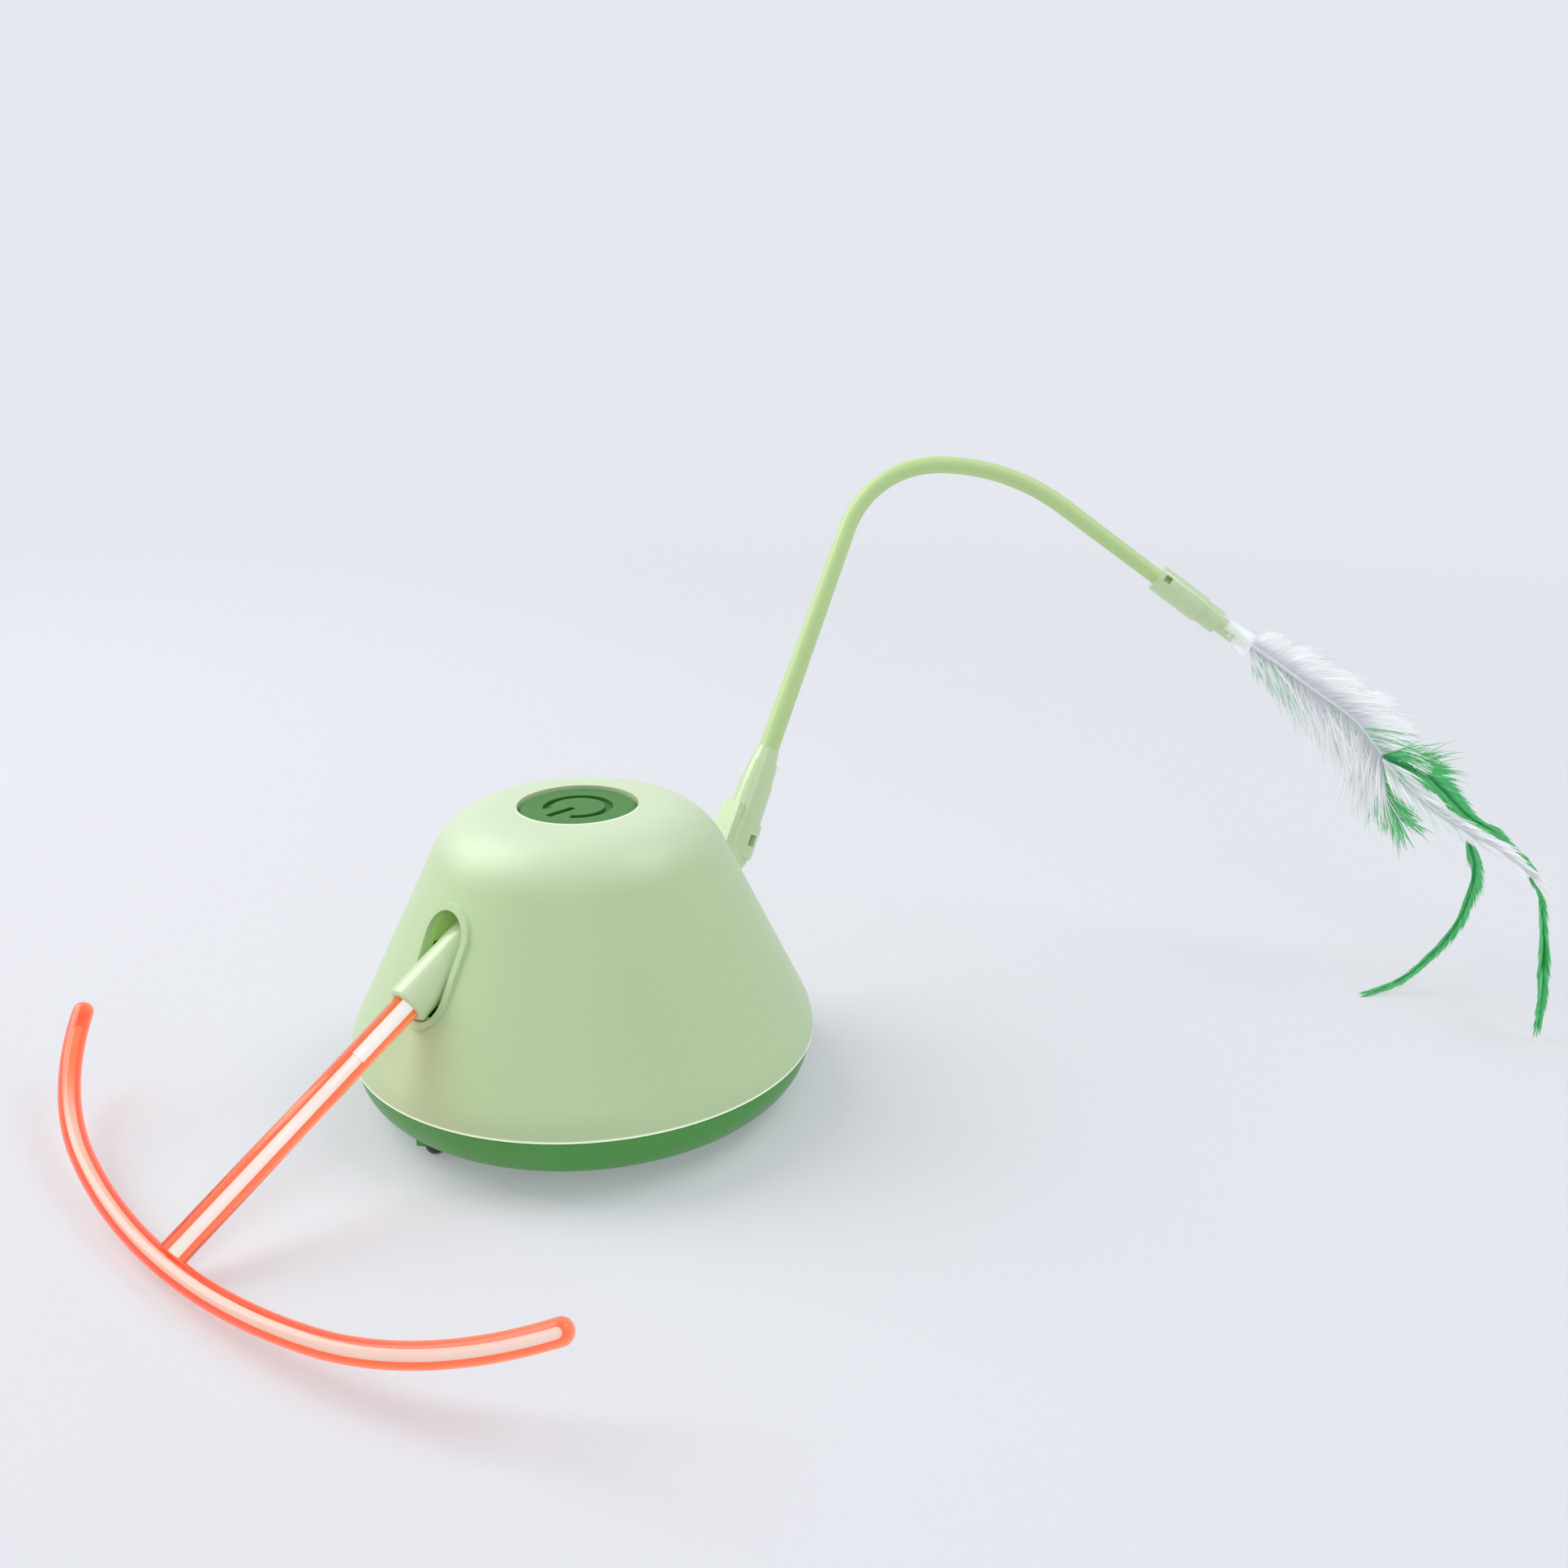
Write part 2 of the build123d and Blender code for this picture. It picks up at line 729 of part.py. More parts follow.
def involute(base, radius):
    """Polar angle gained along an involute from its base circle out to a radius."""
    turn = sqrt(max((radius / base) ** 2 - 1, 0))
    return turn - atan2(turn, 1)


def gear(teeth, bearing, y, z, start_x, end_x, bore):
    """A spur gear on an X axis with one tooth at a bearing, and a round bore."""
    pitch = gear_module * teeth / 2
    base = pitch * cos(radians(pressure_angle))
    tip = pitch + gear_module * addendum_share
    root = pitch - gear_module * dedendum_share
    low = max(root, base)
    half = pi / (2 * teeth) - backlash / (4 * pitch) + involute(base, pitch)
    edges = []
    for index in range(teeth):
        centre = radians(bearing) + index * 2 * pi / teeth

        def point(radius, offset):
            return Vector(radius * cos(centre + offset), radius * sin(centre + offset))

        mid = (low + tip) / 2
        low_half = half - involute(base, low)
        mid_half = half - involute(base, mid)
        tip_half = half - involute(base, tip)
        next_low = 2 * pi / teeth - low_half
        if root < low:
            edges.append(Line(point(root, -low_half), point(low, -low_half)))
        edges.append(ThreePointArc(point(low, -low_half), point(mid, -mid_half), point(tip, -tip_half)))
        edges.append(ThreePointArc(point(tip, -tip_half), point(tip, 0), point(tip, tip_half)))
        edges.append(ThreePointArc(point(tip, tip_half), point(mid, mid_half), point(low, low_half)))
        if root < low:
            edges.append(Line(point(low, low_half), point(root, low_half)))
        edges.append(ThreePointArc(point(root, low_half), point(root, pi / teeth), point(root, next_low)))
    face = Face(Wire([edge for item in edges for edge in item.edges()]))
    seat = Plane((start_x, y, z), x_dir=(0, 1, 0), z_dir=(1, 0, 0))
    blank = Solid.extrude(face, Vector(0, 0, end_x - start_x))
    return seat.location * blank - crosswise(bore, y, z, start_x - overrun, end_x + overrun)


def gear_frame():
    """Two plates under a roof that carry the motor, the gears and the wheel axle."""
    inner = (plate_inner_x, plate_inner_x + plate_thickness)
    outer = (plate_outer_x, frame_outer_x)
    across = (plate_inner_x, frame_outer_x)
    height = (frame_foot_z, frame_top_z)
    frame = block(inner, (plate_front_y, plate_rear_y), height)
    frame = frame + block(outer, (plate_front_y, plate_rear_y), height)
    frame = frame + block(across, (roof_front_y, roof_rear_y), (frame_top_z - roof_thickness, frame_top_z))
    foot = (frame_foot_z, frame_foot_z + frame_foot_height)
    frame = frame + block(across, (plate_front_y, plate_front_y + frame_foot_length), foot)
    frame = frame + block(across, (plate_rear_y - frame_foot_length, plate_rear_y), foot)
    for y in (frame_screw_front_y, frame_screw_rear_y):
        hole = upright(small_shank_radius + running, frame_screw_x, y, foot[0] - overrun, foot[1] + overrun)
        frame = frame - hole
    for y in (board_screw_front_y, board_screw_rear_y):
        pilot_foot = board_top - board_screw_length - snug
        pilot_radius = small_shank_radius + snug
        frame = frame - upright(pilot_radius, frame_screw_x, y, pilot_foot, frame_top_z + overrun)
    ends = (plate_inner_x - overrun, frame_outer_x + overrun)
    frame = frame - crosswise(bush_radius + snug, wheel_y, wheel_z, *ends)
    frame = frame - crosswise(gear_pin_radius + snug, compound_y, compound_z, *ends)
    boss_end = plate_inner_x + plate_thickness + overrun
    frame = frame - crosswise(motor_boss_radius + snug, motor_y, motor_z, ends[0], boss_end)
    for seat in motor_screw_seats():
        frame = frame - rod(motor_screw_radius + running, seat, -motor_screw_length, overrun)
    return frame


def motor_screw_seats():
    """Where the two motor screws press on the inner plate, square to the pinion's bearing."""
    seats = []
    for turn in (pinion_bearing - 90, pinion_bearing + 90):
        y = motor_y + motor_screw_circle * cos(radians(turn))
        z = motor_z + motor_screw_circle * sin(radians(turn))
        seats.append(Plane((plate_inner_x + plate_thickness, y, z), z_dir=(1, 0, 0)))
    return seats


def motor():
    """The motor can with flat top and bottom and a round boss in the plate."""
    back = plate_inner_x - motor_length
    can = crosswise(motor_radius, motor_y, motor_z, back, plate_inner_x)
    can = fillet(can.edges().filter_by(GeomType.CIRCLE), motor_edge_round)
    y_range = (motor_y - motor_radius, motor_y + motor_radius)
    can = can & block((back, plate_inner_x), y_range, (motor_z - motor_flat, motor_z + motor_flat))
    boss_end = plate_inner_x + plate_thickness + motor_boss_proud
    can = can + crosswise(motor_boss_radius, motor_y, motor_z, plate_inner_x - overrun, boss_end)
    for seat in motor_screw_seats():
        can = can - rod(motor_screw_radius + snug, seat, -motor_screw_length - snug, overrun)
    shaft_start = back + motor_boss_radius
    return can - crosswise(motor_shaft_radius + running, motor_y, motor_z, shaft_start, boss_end + overrun)


def motor_shaft():
    """The motor's thin shaft."""
    start = plate_inner_x - motor_length + motor_boss_radius + running
    return crosswise(motor_shaft_radius, motor_y, motor_z, start, pinion_x + pinion_width)


def pinion():
    """The small gear on the motor shaft, with a space towards the large gear."""
    bearing = pinion_bearing + 180 + 180 / pinion_teeth
    end_x = pinion_x + pinion_width
    return gear(pinion_teeth, bearing, motor_y, motor_z, pinion_x, end_x, motor_shaft_radius + snug)


def compound_gear():
    """The large and the small gear made in one, which turn on a fixed pin."""
    bore = gear_pin_radius + running
    large_end = large_gear_x + large_gear_width
    large = gear(large_teeth, pinion_bearing, compound_y, compound_z, large_gear_x, large_end, bore)
    bearing = compound_bearing + 180 + 180 / small_teeth
    small = gear(small_teeth, bearing, compound_y, compound_z, large_end, compound_end_x, bore)
    boss_start = plate_inner_x + plate_thickness + gear_side_gap
    boss = crosswise(gear_pin_radius + gear_pin_radius, compound_y, compound_z, boss_start, large_gear_x)
    boss = boss - crosswise(bore, compound_y, compound_z, boss_start - overrun, large_gear_x + overrun)
    return large + small + boss


def gear_pin():
    """The fixed pin of the compound gear."""
    return crosswise(gear_pin_radius, compound_y, compound_z, plate_inner_x, frame_outer_x)


def wheel_gear():
    """The gear fixed on the wheel axle."""
    end_x = wheel_gear_x + wheel_gear_width
    return gear(wheel_teeth, compound_bearing, wheel_y, wheel_z, wheel_gear_x, end_x, axle_radius + snug)


def wheel_axle():
    """The steel axle from the inner plate out to the wheel."""
    start_x = plate_inner_x - axle_inner_stub
    return crosswise(axle_radius, wheel_y, wheel_z, start_x, wheel_outer_x + axle_outer_stub)


def axle_bush(face_x, direction):
    """A flanged bush in a plate; its flange stands on the face in a direction along X."""
    plate = sorted((face_x, face_x - direction * plate_thickness))
    flange = sorted((face_x, face_x + direction * bush_flange))
    bush = crosswise(bush_radius, wheel_y, wheel_z, *plate)
    bush = bush + crosswise(bush_flange_radius, wheel_y, wheel_z, *flange)
    return bush - crosswise(axle_radius + running, wheel_y, wheel_z, plate[0] - overrun, plate[1] + overrun)


def wheel_hub():
    """The wheel's rim, web and boss."""
    rim = wheel_radius - tyre_wall
    middle = (wheel_inner_x + wheel_outer_x) / 2
    hub = crosswise(rim, wheel_y, wheel_z, wheel_inner_x, wheel_outer_x)
    hub = hub - crosswise(rim - hub_rim, wheel_y, wheel_z, wheel_inner_x - overrun, wheel_outer_x + overrun)
    hub = hub + crosswise(rim - hub_rim / 2, wheel_y, wheel_z, middle - hub_web / 2, middle + hub_web / 2)
    hub = hub + crosswise(hub_boss_radius, wheel_y, wheel_z, wheel_inner_x, wheel_outer_x)
    circle = (rim - hub_rim + hub_boss_radius) / 2
    for index in range(hub_hole_count):
        turn = 2 * pi * index / hub_hole_count
        y = wheel_y + circle * cos(turn)
        z = wheel_z + circle * sin(turn)
        hub = hub - crosswise(hub_hole_radius, y, z, wheel_inner_x, wheel_outer_x)
    ends = (wheel_inner_x - overrun, wheel_outer_x + overrun)
    return hub - crosswise(axle_radius + snug, wheel_y, wheel_z, *ends)


def tyre():
    """The rubber tyre with cross grooves, standing on a land between two of them."""
    ring = crosswise(wheel_radius, wheel_y, wheel_z, wheel_inner_x, wheel_outer_x)
    bore = wheel_radius - tyre_wall + snug
    ring = ring - crosswise(bore, wheel_y, wheel_z, wheel_inner_x - overrun, wheel_outer_x + overrun)
    floor = wheel_radius - tread_depth
    groove = block((wheel_inner_x - overrun, wheel_outer_x + overrun),
                   (-tread_width / 2, tread_width / 2), (floor, wheel_radius + overrun))
    for index in range(tread_count):
        turn = 360 * (index + 0.5) / tread_count
        ring = ring - Pos(0, wheel_y, wheel_z) * Rot(turn, 0, 0) * groove
    return ring


def caster_ball():
    """The loose ball under the front of the dish."""
    return Pos(0, ball_y, ball_radius) * Solid.make_sphere(ball_radius)


def caster_cage():
    """The cage pushed through the dish, with a flange inside and three claws that hold the ball."""
    cage = upright(cage_radius, 0, ball_y, floor_gap, cage_top_z) & dish_body(0, seam_height)
    flange = upright(cage_radius + cage_flange, 0, ball_y, floor_gap, cage_flange_top_z)
    cage = cage + (flange & dish_body(wall + snug, seam_height))
    claw_foot = floor_gap - claw_drop
    post = upright(cage_radius, 0, ball_y, claw_foot, cage_flange_top_z)
    for angle in claw_angles:
        claw = block((0, cage_radius), (-claw_width / 2, claw_width / 2), (claw_foot, cage_flange_top_z))
        cage = cage + (Pos(0, ball_y, 0) * Rot(0, 0, angle) * claw & post)
    return cage - Pos(0, ball_y, ball_radius) * Solid.make_sphere(ball_radius + ball_play)


def nozzle_arm():
    """The hinged tube that comes out of the front opening and holds the stem."""
    start = hub_width / 2
    outline = [(0, 0), (nozzle_radius, 0), (nozzle_radius, nozzle_length), (0, nozzle_length)]
    tube = bumper_seat.location * turned(outline, {2: nozzle_edge_round})
    arm = tube + crosswise(hub_radius, hinge_y, hinge_z, -start, start)
    end = nozzle_length + overrun
    arm = arm - rod(mouth_radius, bumper_seat, nozzle_length - mouth_depth, end)
    arm = arm - rod(spigot_radius + snug, bumper_seat, nozzle_length - spigot_length - snug, end)
    arm = arm - rod(peg_radius + snug, bumper_seat, nozzle_length - peg_length / 2 - snug, end)
    return arm - crosswise(pin_radius + running, hinge_y, hinge_z, -start - overrun, start + overrun)


def nozzle_pin():
    """The steel hinge pin held by the two cheeks."""
    end = hub_width / 2 + lug_gap + lug_width
    return crosswise(pin_radius, hinge_y, hinge_z, -end, end)


def bar_path():
    """The bar's centre line: a wide middle arc and a tighter arc at each end."""
    middle = radians(bar_middle_angle)
    turn = radians(bar_middle_angle + bar_end_angle)
    half_turn = radians(bar_middle_angle + bar_end_angle / 2)

    def end_point(angle):
        across = bar_middle_radius * sin(middle) + bar_end_radius * (sin(angle) - sin(middle))
        back = bar_middle_radius * (1 - cos(middle)) + bar_end_radius * (cos(middle) - cos(angle))
        return across, back

    points = [end_point(turn), end_point(half_turn), end_point(middle)]
    right = [bumper_seat.from_local_coords(Vector(x, 0, bar_reach_total() - back)) for x, back in points]
    left = [Vector(-point.X, point.Y, point.Z) for point in right]
    crown = bumper_seat.from_local_coords(Vector(0, 0, bar_reach_total()))
    return right, left, crown


def bar_reach_total():
    """Distance from the hinge pin to the middle of the bar's centre line."""
    return nozzle_length + bar_reach


def bumper_arc():
    """The bent bar with round closed ends."""
    right, left, crown = bar_path()
    path = Wire([Edge.make_three_point_arc(left[0], left[1], left[2]),
                 Edge.make_three_point_arc(left[2], crown, right[2]),
                 Edge.make_three_point_arc(right[2], right[1], right[0])])
    start = Plane(left[0], z_dir=path % 0)
    bar = sweep(start * Circle(bar_radius), path=path)
    for end in (left[0], right[0]):
        bar = bar + Pos(*end) * Solid.make_sphere(bar_radius)
    return bar


def bumper_stem():
    """The tube from the nozzle to the bar, with a thinner spigot inside the nozzle."""
    start = nozzle_length + stem_gap
    end = bar_reach_total()
    stem = rod(stem_radius, bumper_seat, start, end)
    stem = stem + rod(spigot_radius, bumper_seat, nozzle_length - spigot_length, start)
    stem = stem - rod(stem_bore_radius, bumper_seat, nozzle_length - spigot_length - overrun, end)
    right, left, crown = bar_path()
    grown = Wire([Edge.make_three_point_arc(left[2], crown, right[2])])
    notch = sweep(Plane(left[2], z_dir=grown % 0) * Circle(bar_radius + snug), path=grown)
    stem = stem - notch
    return stem.solids().sort_by(SortBy.VOLUME)[-1]


def stem_peg():
    """The peg that joins the nozzle and the stem."""
    half = peg_length / 2
    return rod(peg_radius, bumper_seat, nozzle_length - half, nozzle_length + half)


def wand_socket():
    """The arm out of the rear wall with the flange inside and the socket for the wand's boot."""
    inner_end = arm_seat.from_local_coords(Vector(0, 0, arm_length))
    upper_end = socket_seat.from_local_coords(Vector(0, 0, socket_plug_end + elbow_round))
    path = FilletPolyline(inner_end, elbow, upper_end, radius=elbow_round)
    socket = sweep(Plane(inner_end, z_dir=path % 0) * Circle(arm_radius), path=path)
    socket = socket + rod(socket_radius, socket_seat, socket_bottom, socket_rim)
    socket = socket + rod(arm_flange_radius, arm_seat, arm_length - arm_flange, arm_length)
    tab_back = -socket_radius - tab_thickness
    tab_front = -(socket_radius + socket_bore_radius) / 2
    tab = block((-tab_width / 2, tab_width / 2), (tab_back, tab_front), (tab_bottom, tab_top))
    socket = socket + socket_seat.location * tab
    socket = socket - rod(socket_bore_radius, socket_seat, socket_plug_end, socket_rim)
    socket = socket - rod(boot_lower_radius + snug, socket_seat, socket_rim, tab_top + overrun)
    window = block((-body_radius, body_radius), (-window_width / 2, window_width / 2),
                   (window_place - window_height / 2, window_place + window_height / 2))
    socket = socket - socket_seat.location * window
    for x in (-arm_screw_x, arm_screw_x):
        seat = Plane(arm_seat.from_local_coords(Vector(x, 0, arm_length)), z_dir=arm_seat.z_dir)
        socket = socket - rod(tiny_shank_radius + running, seat, -tiny_screw_length, overrun)
    return socket


def wand_boot():
    """The stepped sleeve that is plugged into the socket and grips the rod."""
    boot = rod(socket_bore_radius - snug, socket_seat, socket_plug_end + snug, socket_rim)
    steps = [(boot_lower_radius, boot_lower_top_radius, socket_rim, boot_lower_top),
             (boot_middle_radius, boot_middle_top_radius, boot_lower_top, boot_middle_top),
             (boot_tip_radius, boot_tip_top_radius, boot_middle_top, boot_tip_top)]
    for foot_radius, top_radius, foot, top in steps:
        boot = boot + cone(foot_radius, top_radius, socket_seat, foot, top)
    return boot - rod(rod_foot_radius + snug, socket_seat, rod_foot - snug, boot_tip_top + overrun)


def wand_point(across, up):
    """A point in the wand's plane."""
    return wand_plane.from_local_coords(Vector(across, up, 0))


def rod_marks():
    """Ends and middles of the rod's two bends, and the sleeve's start, in the wand's plane."""
    lean = wand_rise
    fall = radians(rod_crown_turn)
    foot = (rod_straight * cos(lean), rod_straight * sin(lean))
    centre = (foot[0] + rod_bend_radius * sin(lean), foot[1] - rod_bend_radius * cos(lean))
    top = (centre[0], centre[1] + rod_bend_radius)
    bend = (centre[0] - rod_bend_radius * sin(lean / 2), centre[1] + rod_bend_radius * cos(lean / 2))
    low = top[1] - rod_crown_radius
    crown = (top[0] + rod_crown_radius * sin(fall / 2), low + rod_crown_radius * cos(fall / 2))
    turn_end = (top[0] + rod_crown_radius * sin(fall), low + rod_crown_radius * cos(fall))
    end = (turn_end[0] + rod_fall * cos(fall), turn_end[1] - rod_fall * sin(fall))
    return foot, bend, top, crown, turn_end, end


def sleeve_seat():
    """A plane at the sleeve's start whose normal runs down along the rod's end."""
    fall = radians(rod_crown_turn)
    down = wand_plane.x_dir * cos(fall) - wand_plane.y_dir * sin(fall)
    return Plane(wand_point(*rod_marks()[-1]), x_dir=wand_plane.z_dir, z_dir=down)


def wand_rod():
    """The bent, tapering rod."""
    foot, bend, top, crown, turn_end = [wand_point(*mark) for mark in rod_marks()[:-1]]
    stick = rod(rod_foot_radius, socket_seat, rod_foot, boot_tip_top)
    stick = stick + cone(rod_foot_radius, rod_mid_radius, socket_seat, boot_tip_top, rod_straight)
    path = Wire([Edge.make_three_point_arc(foot, bend, top), Edge.make_three_point_arc(top, crown, turn_end)])
    stick = stick + sweep(Plane(foot, z_dir=socket_seat.z_dir) * Circle(rod_mid_radius), path=path)
    seat = sleeve_seat()
    stick = stick + cone(rod_mid_radius, rod_end_radius, seat, -rod_fall, 0)
    return stick + rod(rod_end_radius, seat, 0, rod_grip)


def feather_connector():
    """The sleeve pushed on the rod's end, with a small window and a spigot for the quills."""
    seat = sleeve_seat()
    step = sleeve_length - sleeve_step
    body = rod(sleeve_radius, seat, 0, step) + rod(sleeve_step_radius, seat, step, sleeve_length)
    spigot_end = sleeve_length + holder_spigot_length
    body = body + rod(holder_spigot_radius, seat, sleeve_length, spigot_end)
    body = body - rod(rod_end_radius + snug, seat, -overrun, rod_grip + snug)
    half = sleeve_window / 2
    window = block((sleeve_radius / 2, sleeve_radius + overrun), (-half, half),
                   (sleeve_window_place, sleeve_window_place + sleeve_window))
    return body - seat.location * window


def feather_sheath():
    """A short film sleeve over the spigot and the quills."""
    seat = sleeve_seat()
    start = sleeve_length + holder_spigot_length - sheath_overlap
    ring = rod(sheath_radius, seat, start, start + sheath_length)
    return ring - rod(holder_spigot_radius + snug, seat, start - overrun, start + sheath_length + overrun)


def quill_bundle():
    """Three quill ends side by side in the sheath."""
    seat = sleeve_seat()
    start = sleeve_length + holder_spigot_length
    quills = []
    for index in range(quill_count):
        turn = 2 * pi * index / quill_count
        spot = seat.from_local_coords(Vector(quill_circle * cos(turn), quill_circle * sin(turn), start))
        quills.append(Solid.make_cylinder(quill_radius, quill_length, Plane(spot, z_dir=seat.z_dir)))
    return quills


def feather_spot(shares, depth):
    """A place on the feathers from its shares of the span, at a depth square to their plane."""
    start = rod_marks()[-1]
    holder = sleeve_length + holder_spigot_length
    fall = radians(rod_crown_turn)
    across = start[0] + holder * cos(fall) + shares[0] * feather_span
    up = start[1] - holder * sin(fall) + shares[1] * feather_span
    return wand_plane.from_local_coords(Vector(across, up, depth))


def white_feather():
    """The fluffy white feather, a thin solid with its own outline."""
    spots = [feather_spot(shares, -feather_thickness / 2) for shares in white_outline_shares]
    edge = Spline(spots, periodic=True)
    face = Face(Wire(edge.edges()))
    return Solid.extrude(face, wand_plane.z_dir * feather_thickness)


def blade(start, middle, end, half_width, normal, thickness):
    """A thin pointed leaf between two points, bowed through a third, grown along a normal."""
    side = (end - start).cross(normal).normalized() * half_width
    outer = Edge.make_three_point_arc(start, middle + side, end)
    inner = Edge.make_three_point_arc(end, middle - side, start)
    return Solid.extrude(Face(Wire([outer, inner])), normal * thickness)


def plane_blade(shares, depth, half_width):
    """A leaf that lies in the wand's plane at a depth."""
    start, middle, end = [feather_spot(pair, depth) for pair in shares]
    return blade(start, middle, end, half_width, wand_plane.z_dir, vane_thickness)


def strip(start, bearing, reach, middle_shares):
    """A long thin barb that hangs in an upright plane from its start down to the floor."""
    away = Vector(cos(radians(bearing)), sin(radians(bearing)), 0)
    drop = start.Z - strip_tip_z
    end = start + away * reach - Vector(0, 0, drop)
    middle = start + away * (reach * middle_shares[0]) - Vector(0, 0, drop * middle_shares[1])
    normal = away.cross(Vector(0, 0, 1))
    shift = normal * (strip_thickness / 2)
    return blade(start - shift, middle - shift, end - shift, strip_half_width, normal, strip_thickness)


def near_strip():
    """The strip that hangs from the streamer's back and curls forward on the floor."""
    back = -feather_thickness / 2 - vane_thickness - strip_thickness - strip_gap
    start = feather_spot(near_strip_start_shares, back)
    return strip(start, near_strip_bearing, near_strip_reach_shares * feather_span, near_strip_middle_shares)


def far_strip():
    """The strip that arches out of the streamer's tip and drops to the floor."""
    start = feather_spot(far_strip_start_shares, -feather_thickness / 2 + strip_gap)
    return strip(start, far_strip_bearing, far_strip_reach_shares * feather_span, far_strip_middle_shares)


def case_screws():
    """Four screws from below that close the casing."""
    return [screw(Plane((x, y, case_head_seat()), z_dir=(0, 0, -1)), case_head_radius, case_head_height,
                  case_shank_radius, seam_height + lip_height + case_grip - case_head_seat())
            for x, y in case_corners()]


def frame_screws():
    """Four screws that hold the gear frames on the dish."""
    top = frame_foot_z + frame_foot_height
    return [screw(Plane((x, y, top)), small_head_radius, small_head_height, small_shank_radius,
                  small_screw_length) for x, y in drive_feet()]


def board_screws():
    """Four screws that hold the main board on the frames."""
    return [screw(Plane((x, y, board_top)), small_head_radius, small_head_height, small_shank_radius,
                  board_screw_length) for x, y in board_holes()]


def motor_screws():
    """Two small screws for each motor."""
    right = [screw(seat, motor_head_radius, motor_head_height, motor_screw_radius, motor_screw_length)
             for seat in motor_screw_seats()]
    return right + [mirrored(piece) for piece in right]


def socket_screws():
    """Two screws inside that hold the wand socket's flange."""
    screws = []
    for x in (-arm_screw_x, arm_screw_x):
        seat = Plane(arm_seat.from_local_coords(Vector(x, 0, arm_length)), z_dir=arm_seat.z_dir)
        screws.append(screw(seat, tiny_head_radius, tiny_head_height, tiny_shank_radius, tiny_screw_length))
    return screws


def usb_screws():
    """Two screws for the charging board."""
    top = usb_board_z + usb_board_thickness
    return [screw(Plane((x, usb_post_y, top)), tiny_head_radius, tiny_head_height, tiny_shank_radius,
                  tiny_screw_length) for x in (-usb_post_x, usb_post_x)]


def single_pieces():
    """Every node that is not one of a left and right pair."""
    inner_face = plate_inner_x + plate_thickness
    bushes = [axle_bush(inner_face, 1), axle_bush(plate_outer_x, -1)]
    back = -feather_thickness / 2 - vane_thickness
    return {
        "top_shell": top_shell(),
        "bottom_shell": bottom_shell(),
        "power_button": power_button(),
        "switch_plunger": switch_plunger(),
        "tact_switch": tact_switch(),
        "main_board": main_board(),
        "board_components": board_components(),
        "usb_board": usb_board(),
        "usb_port": usb_port(),
        "battery_cell": battery_cell(),
        "gear_pins": [gear_pin(), mirrored(gear_pin())],
        "axle_bushes": bushes + [mirrored(bush) for bush in bushes],
        "caster_ball": caster_ball(),
        "caster_cage": caster_cage(),
        "nozzle_arm": nozzle_arm(),
        "nozzle_pin": nozzle_pin(),
        "bumper_arc": bumper_arc(),
        "bumper_stem": bumper_stem(),
        "stem_peg": stem_peg(),
        "wand_socket": wand_socket(),
        "wand_boot": wand_boot(),
        "wand_rod": wand_rod(),
        "feather_connector": feather_connector(),
        "feather_sheath": feather_sheath(),
        "quill_bundle": quill_bundle(),
        "white_feather": white_feather(),
        "green_feather": plane_blade(vane_shares, feather_thickness / 2, vane_half_width),
        "white_streamer": plane_blade(streamer_shares, back, streamer_half_width),
        "green_tuft": plane_blade(tuft_shares, back - vane_thickness, tuft_half_width),
        "green_strip_near": near_strip(),
        "green_strip_far": far_strip(),
        "case_screws": case_screws(),
        "frame_screws": frame_screws(),
        "board_screws": board_screws(),
        "motor_screws": motor_screws(),
        "socket_screws": socket_screws(),
        "usb_screws": usb_screws(),
    }


def paired_pieces():
    """Every node of the drive that has a right and a left copy."""
    return {
        "gear_frame": gear_frame(),
        "motor": motor(),
        "motor_shaft": motor_shaft(),
        "pinion": pinion(),
        "compound_gear": compound_gear(),
        "wheel_gear": wheel_gear(),
        "axle": wheel_axle(),
        "wheel_hub": wheel_hub(),
        "tyre": tyre(),
    }


def write(name, shape):
    """Writes one node's solids to its file."""
    solids = []
    for item in shape if isinstance(shape, list) else [shape]:
        solids.extend(item.solids())
    body = solids[0] if len(solids) == 1 else Compound(children=solids)
    body.label = name
    export_step(body, f"parts/{name}.step")


os.makedirs("parts", exist_ok=True)
for name, shape in single_pieces().items():
    write(name, shape)
for name, shape in paired_pieces().items():
    write(f"right_{name}", shape)
    write(f"left_{name}", mirrored(shape))
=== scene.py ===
import random
from math import cos, pi, radians, sin

import bmesh
import bpy
from mathutils import Matrix, Vector


